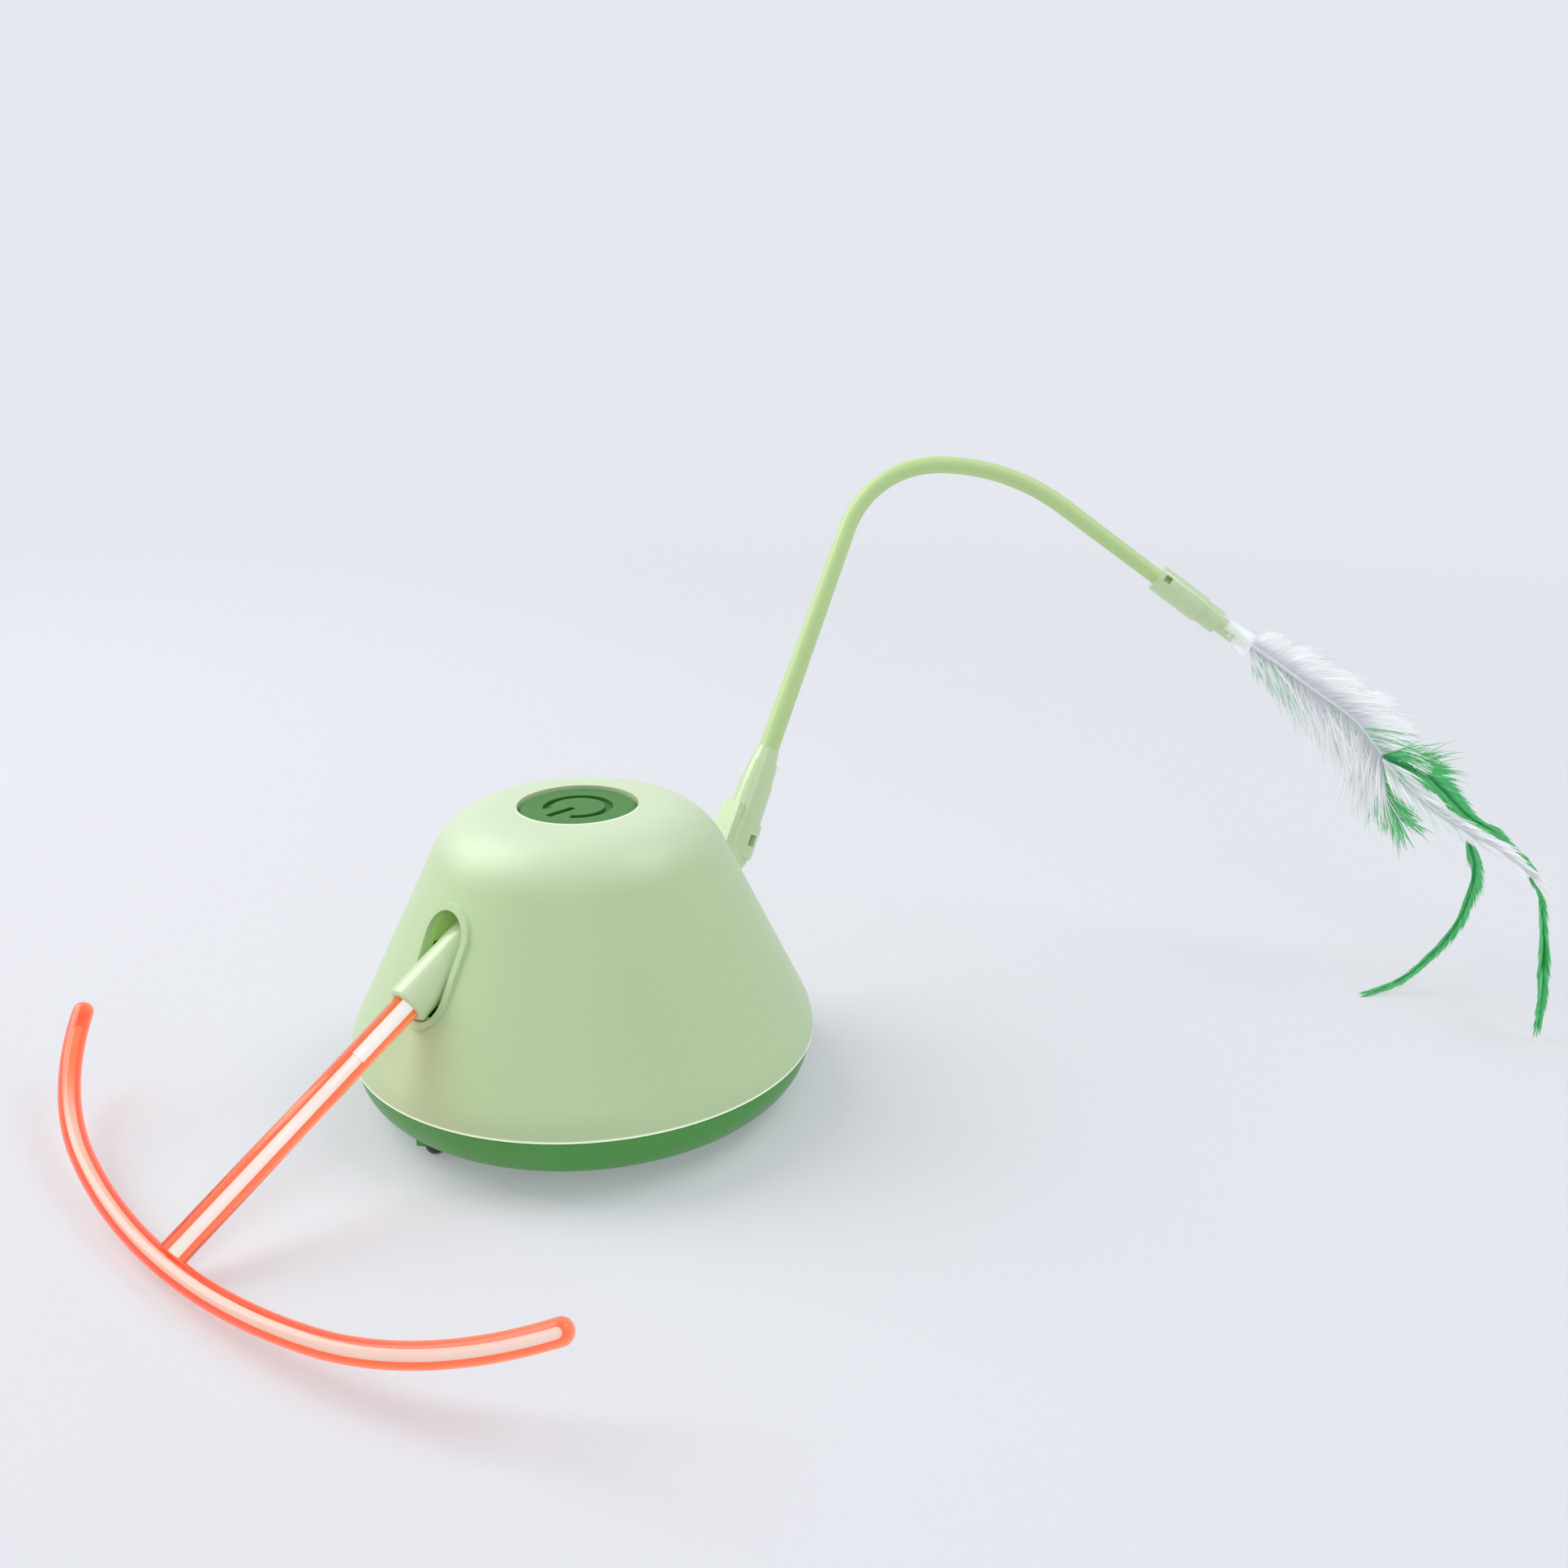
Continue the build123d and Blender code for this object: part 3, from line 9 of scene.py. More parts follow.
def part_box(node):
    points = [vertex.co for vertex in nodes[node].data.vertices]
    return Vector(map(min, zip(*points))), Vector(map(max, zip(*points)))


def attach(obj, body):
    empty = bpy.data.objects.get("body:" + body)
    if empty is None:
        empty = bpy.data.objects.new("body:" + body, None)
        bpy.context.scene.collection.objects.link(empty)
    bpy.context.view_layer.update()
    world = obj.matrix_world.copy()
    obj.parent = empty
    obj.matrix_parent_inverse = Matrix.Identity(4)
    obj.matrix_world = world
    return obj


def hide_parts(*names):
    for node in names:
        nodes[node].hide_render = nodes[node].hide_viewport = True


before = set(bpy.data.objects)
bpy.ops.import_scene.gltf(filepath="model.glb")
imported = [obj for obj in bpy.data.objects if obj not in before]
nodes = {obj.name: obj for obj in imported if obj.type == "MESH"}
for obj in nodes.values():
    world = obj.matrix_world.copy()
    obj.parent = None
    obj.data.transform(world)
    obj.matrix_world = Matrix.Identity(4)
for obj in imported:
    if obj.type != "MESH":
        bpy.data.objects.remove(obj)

bl_info = {
    "name": "Automatic cat teaser",
    "version": (1, 0, 0),
    "blender": (4, 5, 0),
    "location": "3D View > Sidebar > Cat teaser",
    "description": "Dresses the cat teaser's solids and makes its bumper tube and feathers",
    "category": "Object",
}

# Lengths are in metres in the solids' own frame: the floor is at height 0, the bumper points to
# -Y and the wand stands at +Y.
MM = 0.001

# The casing's outer wall: upright up to its knee, then drawn in by a share of the height
BODY_RADIUS = 45.0 * MM
KNEE_HEIGHT = 14.9 * MM
FLANK_SLANT = 0.4877

# Where finishes change, from start to end. Heights are from the floor, and reaches from the
# upright middle line.
# Painted highlight along the upper casing's lower edge
SEAM_HIGHLIGHT_HEIGHT = (12.55 * MM, 12.95 * MM)
SEAM_HIGHLIGHT_REACH = (43.0 * MM, 43.6 * MM)
# Painted highlight round the button's hole, strongest on its lit side
HOLE_HIGHLIGHT_HEIGHT = (57.3 * MM, 58.0 * MM)
HOLE_HIGHLIGHT_REACH = (11.6 * MM, 12.2 * MM)
HOLE_LIT_SIDE = (0.0, 12 * MM)  # X less Y
# Crown painted paler, as where light from above falls
CROWN_PAINTED_LIGHT_HEIGHT = (50 * MM, 58 * MM)
# Inner wall behind the front opening, where light showing through is painted
INNER_WALL_DEPTH = (-0.9 * MM, -0.4 * MM)  # past the outer wall
INNER_WALL_TOP = (43 * MM, 45 * MM)
INNER_WALL_FRONT = (-20 * MM, -30 * MM)  # Y
# Painted shade on the lower casing under the upper casing's edge
DISH_PAINTED_SHADE_HEIGHT = (11.4 * MM, 12.3 * MM)
# Painted shade in the button's engraved groove
GROOVE_SHADE_DEPTH = (0.55 * MM, 0.1 * MM)  # below the button's top
GROOVE_SHADE_REACH = (7.6 * MM, 8.0 * MM)
ORANGE_TIP = (-61 * MM, -42 * MM)  # X

# Painted highlight on the casing's thin edges, and painted glow on its wall behind the opening
EDGE_PAINTED_HIGHLIGHT = (0.27, 0.30, 0.22)
INNER_WALL_PAINTED_GLOW = (0.11, 0.20, 0.035)

# The orange tube: how its depth filters light, how strongly over its radius, its painted warm glow,
# its surface, and the painted glow of the core's orange end
TUBE_FILTER = (1.0, 0.38, 0.08)
TUBE_DENSITY = 1.5
TUBE_PAINTED_GLOW = (1.0, 0.26, 0.11)
TUBE_CLEAR = (1.0, 0.95, 0.93)
CORE_TIP_PAINTED_GLOW = (0.42, 0.20, 0.12)

# The bumper's plane: from the hinge pin outwards and down, and across
HINGE = Vector((0, -20, 43.1)) * MM
BUMPER_FALL = radians(29.7)
OUTWARD = Vector((0, -cos(BUMPER_FALL), -sin(BUMPER_FALL)))
ACROSS = Vector((1, 0, 0))
LEVEL = ACROSS.cross(OUTWARD)
NOZZLE_END = 24.2 * MM
STEM_IN_NOZZLE = 2.6 * MM
PEG_PAST_NOZZLE = 12.2 * MM
CORE_SHORT_OF_BAR = 0.4 * MM
STEM_INTO_BAR_SHARE = 0.82
BAR_REACH = 79.1 * MM

# The bar: a wide middle arc, then a tighter arc at each end
MIDDLE_ARC_RADIUS = 150 * MM
MIDDLE_ARC_TURN = radians(14)
MIDDLE_ARC_STEPS = 14
END_ARC_RADIUS = 76 * MM
END_ARC_TURN = radians(31)
END_ARC_STEPS = 20
CORE_LEFT_SHARE = 0.88
CORE_RIGHT_SHARE = 0.985
TUBE_SIDES = 64
STEM_CORE_SIDES = 24
BAR_CORE_SIDES = 20

# The wand's plane: level with the floor, up, and square to both
WAND_FOOT = Vector((0, 46.8, 44.9)) * MM
WAND_TURN = radians(45.8)
WAND_LEAN = radians(30)
WAND_OUT = Vector((cos(WAND_TURN), sin(WAND_TURN), 0))
WAND_SIDE = WAND_OUT.cross(Vector((0, sin(WAND_LEAN), cos(WAND_LEAN)))).normalized()
WAND_UP = WAND_SIDE.cross(WAND_OUT)

# The film sleeve: where the wand's sleeve starts, how it falls, and the film's place on it
SLEEVE_START = (92.4, 50.5)
SLEEVE_FALL = radians(38)
FILM_START = 18.6 * MM
FILM_STEP = 1.0 * MM
FILM_STEPS = 7
FILM_SIDES = 20
FILM_START_SHARE = 0.86
FILM_THICKNESS = 0.06 * MM

# The film's torn end: its lower side widens, then frays
FILM_WIDENS_AFTER = 3
FILM_FRAYS_AFTER = 4
FILM_FRAY = 1.2 * MM

# How the strips' flat sides face
STRIP_FACE = Vector((0.63, -0.71, 0.31)).normalized()

# The camera, fitted to the photograph
CAMERA_PLACE = (0.2054, -0.1739, 0.1483)
CAMERA_LOOK = Vector((-0.6294, 0.7140, -0.3067))
CAMERA_ROLL = radians(0.2)
CAMERA_LENS = 34.03
CAMERA_NEAR = 0.01

# The floor, and how far from the middle it turns into backdrop
FLOOR_HALF_WIDTH = 6.0
FLOOR_FADE = (0.22, 0.9)
FLOOR_FADE_SHARE = (0.30, 1.0)

# Soft boxes: place, aim, width, height, power and colour
LAMPS = {
    "key": ((-0.92, -0.42, 1.00), (0, 0.02, 0.03), 0.95, 1.10, 13.0, (1.0, 0.99, 0.97)),
    "side": ((0.75, -0.75, 0.75), (0, 0, 0.03), 0.40, 0.80, 1.45, (1.0, 1.0, 1.0)),
    "top": ((0.55, 0.50, 1.10), (0, 0, 0.03), 0.8, 0.5, 4.2, (0.98, 0.99, 1.0)),
}
# Even light from all round
ROOM_TONE = (0.93, 0.96, 1.0)
ROOM_STRENGTH = 0.46


def paint(red, green, blue):
    """A screen's colour from 0 to 255, as the linear numbers that shaders take."""
    def one(value):
        value /= 255
        return value / 12.92 if value <= 0.04045 else ((value + 0.055) / 1.055) ** 2.4
    return one(red), one(green), one(blue)


def length(name, words, default):
    """A length that a user may change."""
    return bpy.props.FloatProperty(name=name, description=words, default=default, min=0,
                                   unit="LENGTH", precision=5)


def amount(name, words, default):
    """A number of barbs that a user may change."""
    return bpy.props.IntProperty(name=name, description=words, default=default, min=50)


def colour(name, words, red, green, blue):
    """A colour that a user may change."""
    return bpy.props.FloatVectorProperty(name=name, description=words, subtype="COLOR", size=3,
                                         min=0, max=1, default=paint(red, green, blue))


class TeaserSizes(bpy.types.PropertyGroup):
    """Sizes of the pieces that are made here."""
    stem_radius: length("Stem radius", "Outer radius of the bumper's stem", 2.55 * MM)
    bar_radius: length("Bar radius", "Outer radius of the bumper's bar", 2.0 * MM)
    barb_width: length("Barb width", "Widest half width of one feather barb", 0.26 * MM)
    film_radius: length("Film radius", "Radius of the film round the quills", 2.35 * MM)
    core_share: bpy.props.FloatProperty(
        name="Core share", description="Radius of the tube's pale core as a share of the tube's",
        default=0.36, min=0.1, max=0.9, subtype="FACTOR")
    upper_barbs: amount("Upper barbs", "Barbs above the white feather's spine", 520)
    lower_barbs: amount("Lower barbs", "Barbs below the white feather's spine", 560)


class TeaserColours(bpy.types.PropertyGroup):
    """Colours of the finishes."""
    casing: colour("Casing", "Upper casing", 196, 221, 170)
    # Painted highlight colour, for the paler crown and the bright thin edges
    rim: colour("Rim", "Thin edge of the upper casing", 238, 246, 226)
    # Painted tone of light showing through the inner wall behind the front opening
    lit_inner_wall: colour("Hollow", "Inner wall behind the front opening", 150, 184, 96)
    dish: colour("Dish", "Lower casing", 75, 154, 64)
    # Painted shade on the lower casing's top edge, under the upper casing
    seam: colour("Seam", "Dark top edge of the lower casing", 52, 122, 48)
    button: colour("Button", "Power button", 66, 129, 50)
    # Painted shade in the button's engraved line
    groove_shade: colour("Groove", "Engraved line of the power button", 52, 112, 50)
    nozzle: colour("Nozzle", "Nozzle, wand socket and feather holder", 207, 228, 181)
    wand: colour("Wand", "Bent rod", 197, 225, 156)
    tube: colour("Tube", "Orange end of the bumper tube's core", 255, 130, 90)
    # The core's paleness comes mostly from its painted glow, which stands in for the bright band
    # along the tube
    core: colour("Core", "Pale middle of the bumper tube", 150, 152, 158)
    glow: colour("Core glow", "Light of the core before the tube warms it", 138, 222, 255)
    feather: colour("White feather", "Tips of the white barbs", 243, 244, 246)
    shade: colour("Feather shade", "Roots of the white barbs", 200, 204, 209)
    vane: colour("Green feather", "Dyed green barbs", 82, 184, 112)
    deep: colour("Deep green", "Roots and folds of the dyed barbs", 24, 128, 66)
    floor: colour("Floor", "Floor and backdrop far off", 229, 232, 239)
    paper: colour("Paper", "Floor under the lamps", 228, 229, 234)


class Shade:
    """One output of a tree's nodes, used in sums like a number."""

    def __init__(self, tree, socket):
        self.tree = tree
        self.socket = socket

    def sum(self, operation, *values):
        """A Math node on some values."""
        return self.tree.node("ShaderNodeMath", {"operation": operation}, dict(enumerate(values)))

    def __add__(self, other):
        return self.sum("ADD", self, other)

    def __sub__(self, other):
        return self.sum("SUBTRACT", self, other)

    def __rsub__(self, other):
        return self.sum("SUBTRACT", other, self)

    def __mul__(self, other):
        return self.sum("MULTIPLY", self, other)

    def __lt__(self, other):
        return self.sum("LESS_THAN", self, other)

    def __gt__(self, other):
        return self.sum("GREATER_THAN", self, other)

    __radd__ = __add__
    __rmul__ = __mul__


class Tree:
    """A node tree that is built by calls."""

    def __init__(self, tree):
        self.tree = tree

    def feed(self, socket, value):
        """Links a shade to a socket or sets its value."""
        if isinstance(value, Shade):
            self.tree.links.new(value.socket, socket)
        elif socket.type == "RGBA" and len(value) == 3:
            socket.default_value = (*value, 1)
        else:
            socket.default_value = value

    def node(self, kind, settings=None, inputs=None, output=0):
        """Adds a node with its settings first and then the values or links of its sockets."""
        made = self.tree.nodes.new(kind)
        for key, value in (settings or {}).items():
            setattr(made, key, value)
        for key, value in (inputs or {}).items():
            self.feed(made.inputs[key], value)
        return Shade(self, made.outputs[output])

    def parts(self, kind, inputs=None):
        """All outputs of a new node, by name."""
        made = self.node(kind, None, inputs).socket.node
        return {output.name: Shade(self, output) for output in made.outputs}

    def given(self, name):
        """The output of a node that the tree came with."""
        return Shade(self, self.tree.nodes[name].outputs[0])

    def end(self, name, socket, value):
        """Feeds a node that the tree came with."""
        self.feed(self.tree.nodes[name].inputs[socket], value)


class Finish(Tree):
    """A procedural material on a Principled shader, read from object coordinates."""

    def __init__(self, name, **fixed):
        self.material = bpy.data.materials.new(name)
        self.material.use_nodes = True
        super().__init__(self.material.node_tree)
        self.place = self.node("ShaderNodeTexCoord", output="Object")
        for socket, value in fixed.items():
            self.shader(socket.replace("_", " "), value)

    def shader(self, socket, value):
        """Feeds one socket of the Principled shader."""
        self.end("Principled BSDF", socket, value)

    def noise(self, scale, detail=2.0, place=None):
        """Cloudy noise from 0 to 1, with scale in waves to the metre."""
        return self.node("ShaderNodeTexNoise", None, {
            "Vector": place or self.place, "Scale": scale, "Detail": detail})

    def lines(self, scale):
        """Noise with a scale for each axis, for grain that runs one way."""
        place = self.node("ShaderNodeMapping", None, {"Vector": self.place, "Scale": scale})
        return self.noise(1.0, 3.0, place)

    def axis(self, name):
        """How far along X, Y or Z a place is, in metres."""
        return self.parts("ShaderNodeSeparateXYZ", {0: self.place})[name]

    def away(self, place):
        """How far a place is from the origin, in metres."""
        return self.node("ShaderNodeVectorMath", {"operation": "LENGTH"}, {0: place},
                         output="Value")

    def reach(self):
        """How far a place is from the upright middle line, in metres."""
        return self.away(self.node("ShaderNodeVectorMath", {"operation": "MULTIPLY"},
                                   {0: self.place, 1: (1, 1, 0)}))

    def span(self, value, low, high, start=0.0, end=1.0):
        """Value taken from low..high to start..end with soft ends."""
        return self.node("ShaderNodeMapRange", {"interpolation_type": "SMOOTHSTEP"}, {
            "Value": value, "From Min": low, "From Max": high, "To Min": start, "To Max": end})

    def fall(self, value, low, high):
        """1 below low, 0 above high, and soft between."""
        return self.span(value, low, high, 1.0, 0.0)

    def blend(self, factor, first, second):
        """Two colours mixed by a factor."""
        return self.node("ShaderNodeMix", {"data_type": "RGBA"},
                         {0: factor, 6: first, 7: second}, output=2)

    def tint(self, tone, factor, amount):
        """A colour made lighter and darker by a factor from 0 to 1."""
        return self.node("ShaderNodeHueSaturation", None, {
            "Value": 1 - amount + factor * (2 * amount), "Color": tone})

    def skin(self, shade, rough, height, depth=0.00002, strength=0.4):
        """Feeds the shader's colour, roughness where it changes, and bump."""
        self.shader("Base Color", shade)
        if rough is not None:
            self.shader("Roughness", rough)
        self.shader("Normal", self.node("ShaderNodeBump", None, {
            "Height": height, "Distance": depth, "Strength": strength}, output="Normal"))
        return self.material


class Moulding(Finish):
    """Satin moulded plastic with faint flow marks and a fine spark-eroded grain."""

    def __init__(self, name, tone, rough, cloud=0.03, grain=0.3, **fixed):
        super().__init__(name, **fixed)
        flow = self.noise(38, 3.0)
        self.fine = self.noise(2600)
        self.shade = self.tint(tone, flow, cloud)
        self.satin = rough - 0.05 + self.noise(210) * 0.10
        self.grain = grain

    def close(self, shade=None, depth=0.00002):
        """Puts the grain on the plain colour or on another."""
        return self.skin(shade or self.shade, self.satin, self.fine, depth, self.grain)


def plastic(name, tone, **more):
    """Plain moulded plastic."""
    return Moulding(name, tone, **more).close()


def casing_finish(colours):
    """Mint casing, with its crown painted paler as if lit from above, painted highlights on its
    thin edges, and painted glow on its wall behind the front opening.
    """
    finish = Moulding("casing_mint", colours.casing, rough=0.42, cloud=0.025, grain=0.22,
                      Coat_Weight=0.25, Coat_Roughness=0.5, Sheen_Weight=0.22,
                      Sheen_Roughness=0.35, Emission_Strength=1.0)
    height, wall = finish.axis("Z"), finish.reach()
    slope = BODY_RADIUS - (height - KNEE_HEIGHT) * FLANK_SLANT
    skin = slope.sum("MINIMUM", slope, BODY_RADIUS)
    # Painted light showing through the inner wall behind the front opening
    lit_inner_wall = (finish.fall(wall - skin, *INNER_WALL_DEPTH) * finish.fall(height, *INNER_WALL_TOP)
              * finish.span(finish.axis("Y"), *INNER_WALL_FRONT))
    # Painted highlights: along the casing's lower edge, and round the button's hole on its lit side
    seam = finish.fall(height, *SEAM_HIGHLIGHT_HEIGHT) * finish.span(wall, *SEAM_HIGHLIGHT_REACH)
    hole = finish.fall(wall, *HOLE_HIGHLIGHT_REACH) * finish.span(height, *HOLE_HIGHLIGHT_HEIGHT)
    lit = finish.span(finish.axis("X") - finish.axis("Y"), *HOLE_LIT_SIDE)
    edge = seam + hole * lit * 0.7
    # Painted light: the crown paler towards the top
    crown = finish.span(height, *CROWN_PAINTED_LIGHT_HEIGHT)
    shade = finish.blend(crown * 0.38, finish.shade, colours.rim)
    shade = finish.blend(edge * 0.9, shade, colours.rim)
    shade = finish.blend(lit_inner_wall * 0.6, shade, colours.lit_inner_wall)
    # Painted glow of the edge highlights and of the inner wall
    glow = finish.blend(edge, (0, 0, 0), EDGE_PAINTED_HIGHLIGHT)
    finish.shader("Emission Color", finish.blend(lit_inner_wall * 0.8, glow, INNER_WALL_PAINTED_GLOW))
    return finish.close(shade)


def dish_finish(colours):
    """Green lower casing, with painted shade in the seam under the upper casing's edge."""
    finish = Moulding("dish_green", colours.dish, rough=0.38, cloud=0.04, Coat_Weight=0.08,
                      Coat_Roughness=0.3)
    # Painted shade under the upper casing's edge
    seam = finish.span(finish.axis("Z"), *DISH_PAINTED_SHADE_HEIGHT)
    return finish.close(finish.blend(seam * 0.7, finish.shade, colours.seam))


def button_finish(colours):
    """Green button with painted shade in its engraved line."""
    finish = Moulding("button_green", colours.button, rough=0.36, Specular_IOR_Level=0.2)
    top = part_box("power_button")[1].z
    low, high = [top - depth for depth in GROOVE_SHADE_DEPTH]
    # Painted shade in the groove
    groove_shade_mask = finish.fall(finish.axis("Z"), low, high) * finish.fall(finish.reach(), *GROOVE_SHADE_REACH)
    return finish.close(finish.blend(groove_shade_mask * 0.9, finish.shade, colours.groove_shade))


def wand_finish(colours):
    """Flexible rod, satin with a very fine even grain."""
    finish = Moulding("wand_green", colours.wand, rough=0.42, cloud=0.035, grain=0.12)
    return finish.close(depth=0.00001)


def rubber_finish():
    """Grey soft tread."""
    finish = Moulding("tyre_rubber", paint(58, 60, 60), rough=0.72, cloud=0.06, grain=0.6)
    return finish.close(depth=0.00005)


def metal_finish(name, tone, rough):
    """Turned or drawn metal with fine lines along one axis."""
    finish = Finish(name, Metallic=1.0)
    lines = finish.lines((3000, 120, 120))
    shade = finish.tint(tone, finish.noise(260), 0.08)
    return finish.skin(shade, rough - 0.08 + lines * 0.18, lines, depth=0.00001, strength=0.3)


def board_finish():
    """Green solder mask with paler copper tracks under it."""
    finish = Finish("board_mask", Coat_Weight=0.3)
    tracks = finish.node("ShaderNodeTexVoronoi",
                         {"feature": "DISTANCE_TO_EDGE", "distance": "MANHATTAN"},
                         {"Vector": finish.place, "Scale": 420.0})
    line = tracks < 0.035
    mask = finish.tint(paint(24, 92, 52), finish.noise(300), 0.08)
    shade = finish.blend(line * 0.6, mask, paint(70, 140, 84))
    return finish.skin(shade, 0.34 + line * 0.1, line, depth=0.00003)


def ball_finish():
    """Polished black ball with faint rolling scuffs."""
    finish = Finish("ball_black", Coat_Weight=0.5, Coat_Roughness=0.04)
    scuff = finish.noise(1400, 4.0)
    shade = finish.tint(paint(18, 19, 20), scuff, 0.3)
    return finish.skin(shade, 0.10 + scuff * 0.10, scuff, depth=0.00001, strength=0.15)


def foil_finish():
    """Silver pouch of the cell with soft creases."""
    finish = Finish("cell_foil", Metallic=0.7)
    crease = finish.noise(160, 5.0)
    shade = finish.tint(paint(196, 200, 204), crease, 0.08)
    return finish.skin(shade, 0.34 + crease * 0.12, crease, depth=0.0002)


def tube_finish(name, radius):
    """Clear orange tube, whose colour comes from the depth that light passes through, with a faint
    painted orange glow.
    """
    finish = Finish(name, Roughness=0.03, IOR=1.12, Transmission_Weight=1.0, Coat_Weight=0.6,
                    Coat_Roughness=0.06, Emission_Color=TUBE_PAINTED_GLOW, Emission_Strength=0.16)
    ripple = finish.noise(70)
    depth = finish.node("ShaderNodeVolumeAbsorption", None,
                        {"Color": TUBE_FILTER, "Density": TUBE_DENSITY / radius})
    finish.end("Material Output", "Volume", depth)
    shade = finish.tint(TUBE_CLEAR, ripple, 0.02)
    return finish.skin(shade, 0.03 + ripple * 0.03, ripple, depth=0.00003, strength=0.05)


def core_finish(name, colours, strength):
    """Pale bore of the tube with a painted glow for the bright band along it, orange where it ends
    at the bar's left tip.
    """
    finish = Finish(name, Roughness=0.5, Emission_Strength=strength)
    left = finish.fall(finish.axis("X"), *ORANGE_TIP)
    cloud = finish.noise(240)
    tone = finish.blend(left, finish.tint(colours.core, cloud, 0.03), colours.tube)
    glow = finish.tint(colours.glow, finish.noise(120, 3.0), 0.05)
    finish.shader("Emission Color", finish.blend(left, glow, CORE_TIP_PAINTED_GLOW))
    return finish.skin(tone, 0.4 + cloud * 0.1, cloud, strength=0.2)


def film_finish():
    """Thin clear wrapping film, with a faint painted glow."""
    finish = Finish("film_clear", Alpha=0.42, Emission_Color=(0.9, 0.92, 0.95),
                    Emission_Strength=0.25)
    crease = finish.noise(900, 3.0)
    shade = finish.tint(paint(240, 242, 244), crease, 0.04)
    return finish.skin(shade, 0.14 + crease * 0.12, crease, depth=0.0001, strength=0.6)


def quill_finish():
    """Pale horn with fine streaks along it."""
    finish = Finish("quill_horn", Coat_Weight=0.3, Coat_Roughness=0.2)
    streak = finish.lines((2500, 2500, 300))
    shade = finish.tint(paint(222, 222, 222), streak, 0.08)
    return finish.skin(shade, 0.32 + streak * 0.15, streak)


def barb_finish(name, tip, root, other, glow, reach):
    """Feather barbs, graded along each barb and varied from barb to barb, with a painted glow in
    their own colour.
    """
    finish = Finish(name, Sheen_Weight=0.15, Sheen_Roughness=0.4, Emission_Strength=glow)
    mark = finish.node("ShaderNodeAttribute", {"attribute_name": "barb"}, output="Color")
    parts = finish.parts("ShaderNodeSeparateColor", {0: mark})
    along, tone, mixed = parts["Red"], parts["Green"], parts["Blue"]
    shade = finish.blend(finish.span(along, 0.0, reach), root, tip)
    shade = finish.blend(mixed, finish.tint(shade, tone, 0.14), other)
    finish.shader("Emission Color", shade)
    fine = finish.noise(3200, 3.0)
    return finish.skin(shade, 0.55 + fine * 0.2, fine, depth=0.00003, strength=0.5)


def dress(finish, *names):
    """Puts one finish on solids of the frame."""
    for name in names:
        data = nodes[name].data
        data.materials.clear()
        data.materials.append(finish)


def add(name, data):
    """An object in the scene."""
    made = bpy.data.objects.new(name, data)
    bpy.context.scene.collection.objects.link(made)
    return made


def to_data(name, mesh, finish):
    """A mesh with its finish, from a bmesh that is then freed."""
    data = bpy.data.meshes.new(name)
    mesh.to_mesh(data)
    mesh.free()
    data.materials.append(finish)
    return data


def new_piece(name, mesh, finish, body, slot, *stands_for):
    """Makes a piece from a finished bmesh, and says where it rides and what it stands for."""
    data = to_data(name, mesh, finish)
    for face in data.polygons:
        face.use_smooth = True
    piece = add(name, data)
    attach(piece, body)
    if stands_for:
        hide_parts(*stands_for)
    return piece


def wand(across, up, side=0.0):
    """A place in the wand's plane, from millimetres across, up and to its side."""
    return WAND_FOOT + (WAND_OUT * across + WAND_UP * up + WAND_SIDE * side) * MM


def ring(mesh, centre, normal, radius, sides):
    """A circle of edges round a place, square to a direction."""
    turn = normal.to_track_quat("Z", "Y").to_matrix().to_4x4()
    made = bmesh.ops.create_circle(mesh, segments=sides, radius=radius,
                                   matrix=Matrix.Translation(centre) @ turn)
    return list(dict.fromkeys(edge for vert in made["verts"] for edge in vert.link_edges))


def grow(mesh, edges):
    """Extrudes edges, and gives the new ones and their ends in one fixed order."""
    made = bmesh.ops.extrude_edge_only(mesh, edges=edges)["geom"]
    old = set(edges)
    verts = [part for part in made if isinstance(part, bmesh.types.BMVert)]
    new = set(verts)
    return [part for part in made if isinstance(part, bmesh.types.BMEdge)
            and part not in old and all(vert in new for vert in part.verts)], verts


def round_end(mesh, edges, centre, heading, radius, steps=6):
    """Closes an open ring with a round end."""
    narrowest = 0.02
    for step in range(1, steps + 1):
        last, angle = pi / 2 * (step - 1) / steps, pi / 2 * step / steps
        edges, verts = grow(mesh, edges)
        share = max(cos(angle), narrowest) / max(cos(last), narrowest)
        middle = centre + heading * radius * sin(last)
        bmesh.ops.scale(mesh, vec=(share, share, share), verts=verts,
                        space=Matrix.Translation(-middle))
        bmesh.ops.translate(mesh, vec=heading * radius * (sin(angle) - sin(last)), verts=verts)
    bmesh.ops.pointmerge(mesh, verts=verts, merge_co=centre + heading * radius)


def spun(mesh, edges, centre, angle, steps):
    """Spins a ring about an axis square to the bumper's plane, and gives the last ring."""
    verts = list(dict.fromkeys(vert for edge in edges for vert in edge.verts))
    made = bmesh.ops.spin(mesh, geom=edges + verts, cent=centre, axis=LEVEL, angle=angle,
                          steps=steps, use_duplicate=False)
    return [part for part in made["geom_last"] if isinstance(part, bmesh.types.BMEdge)]


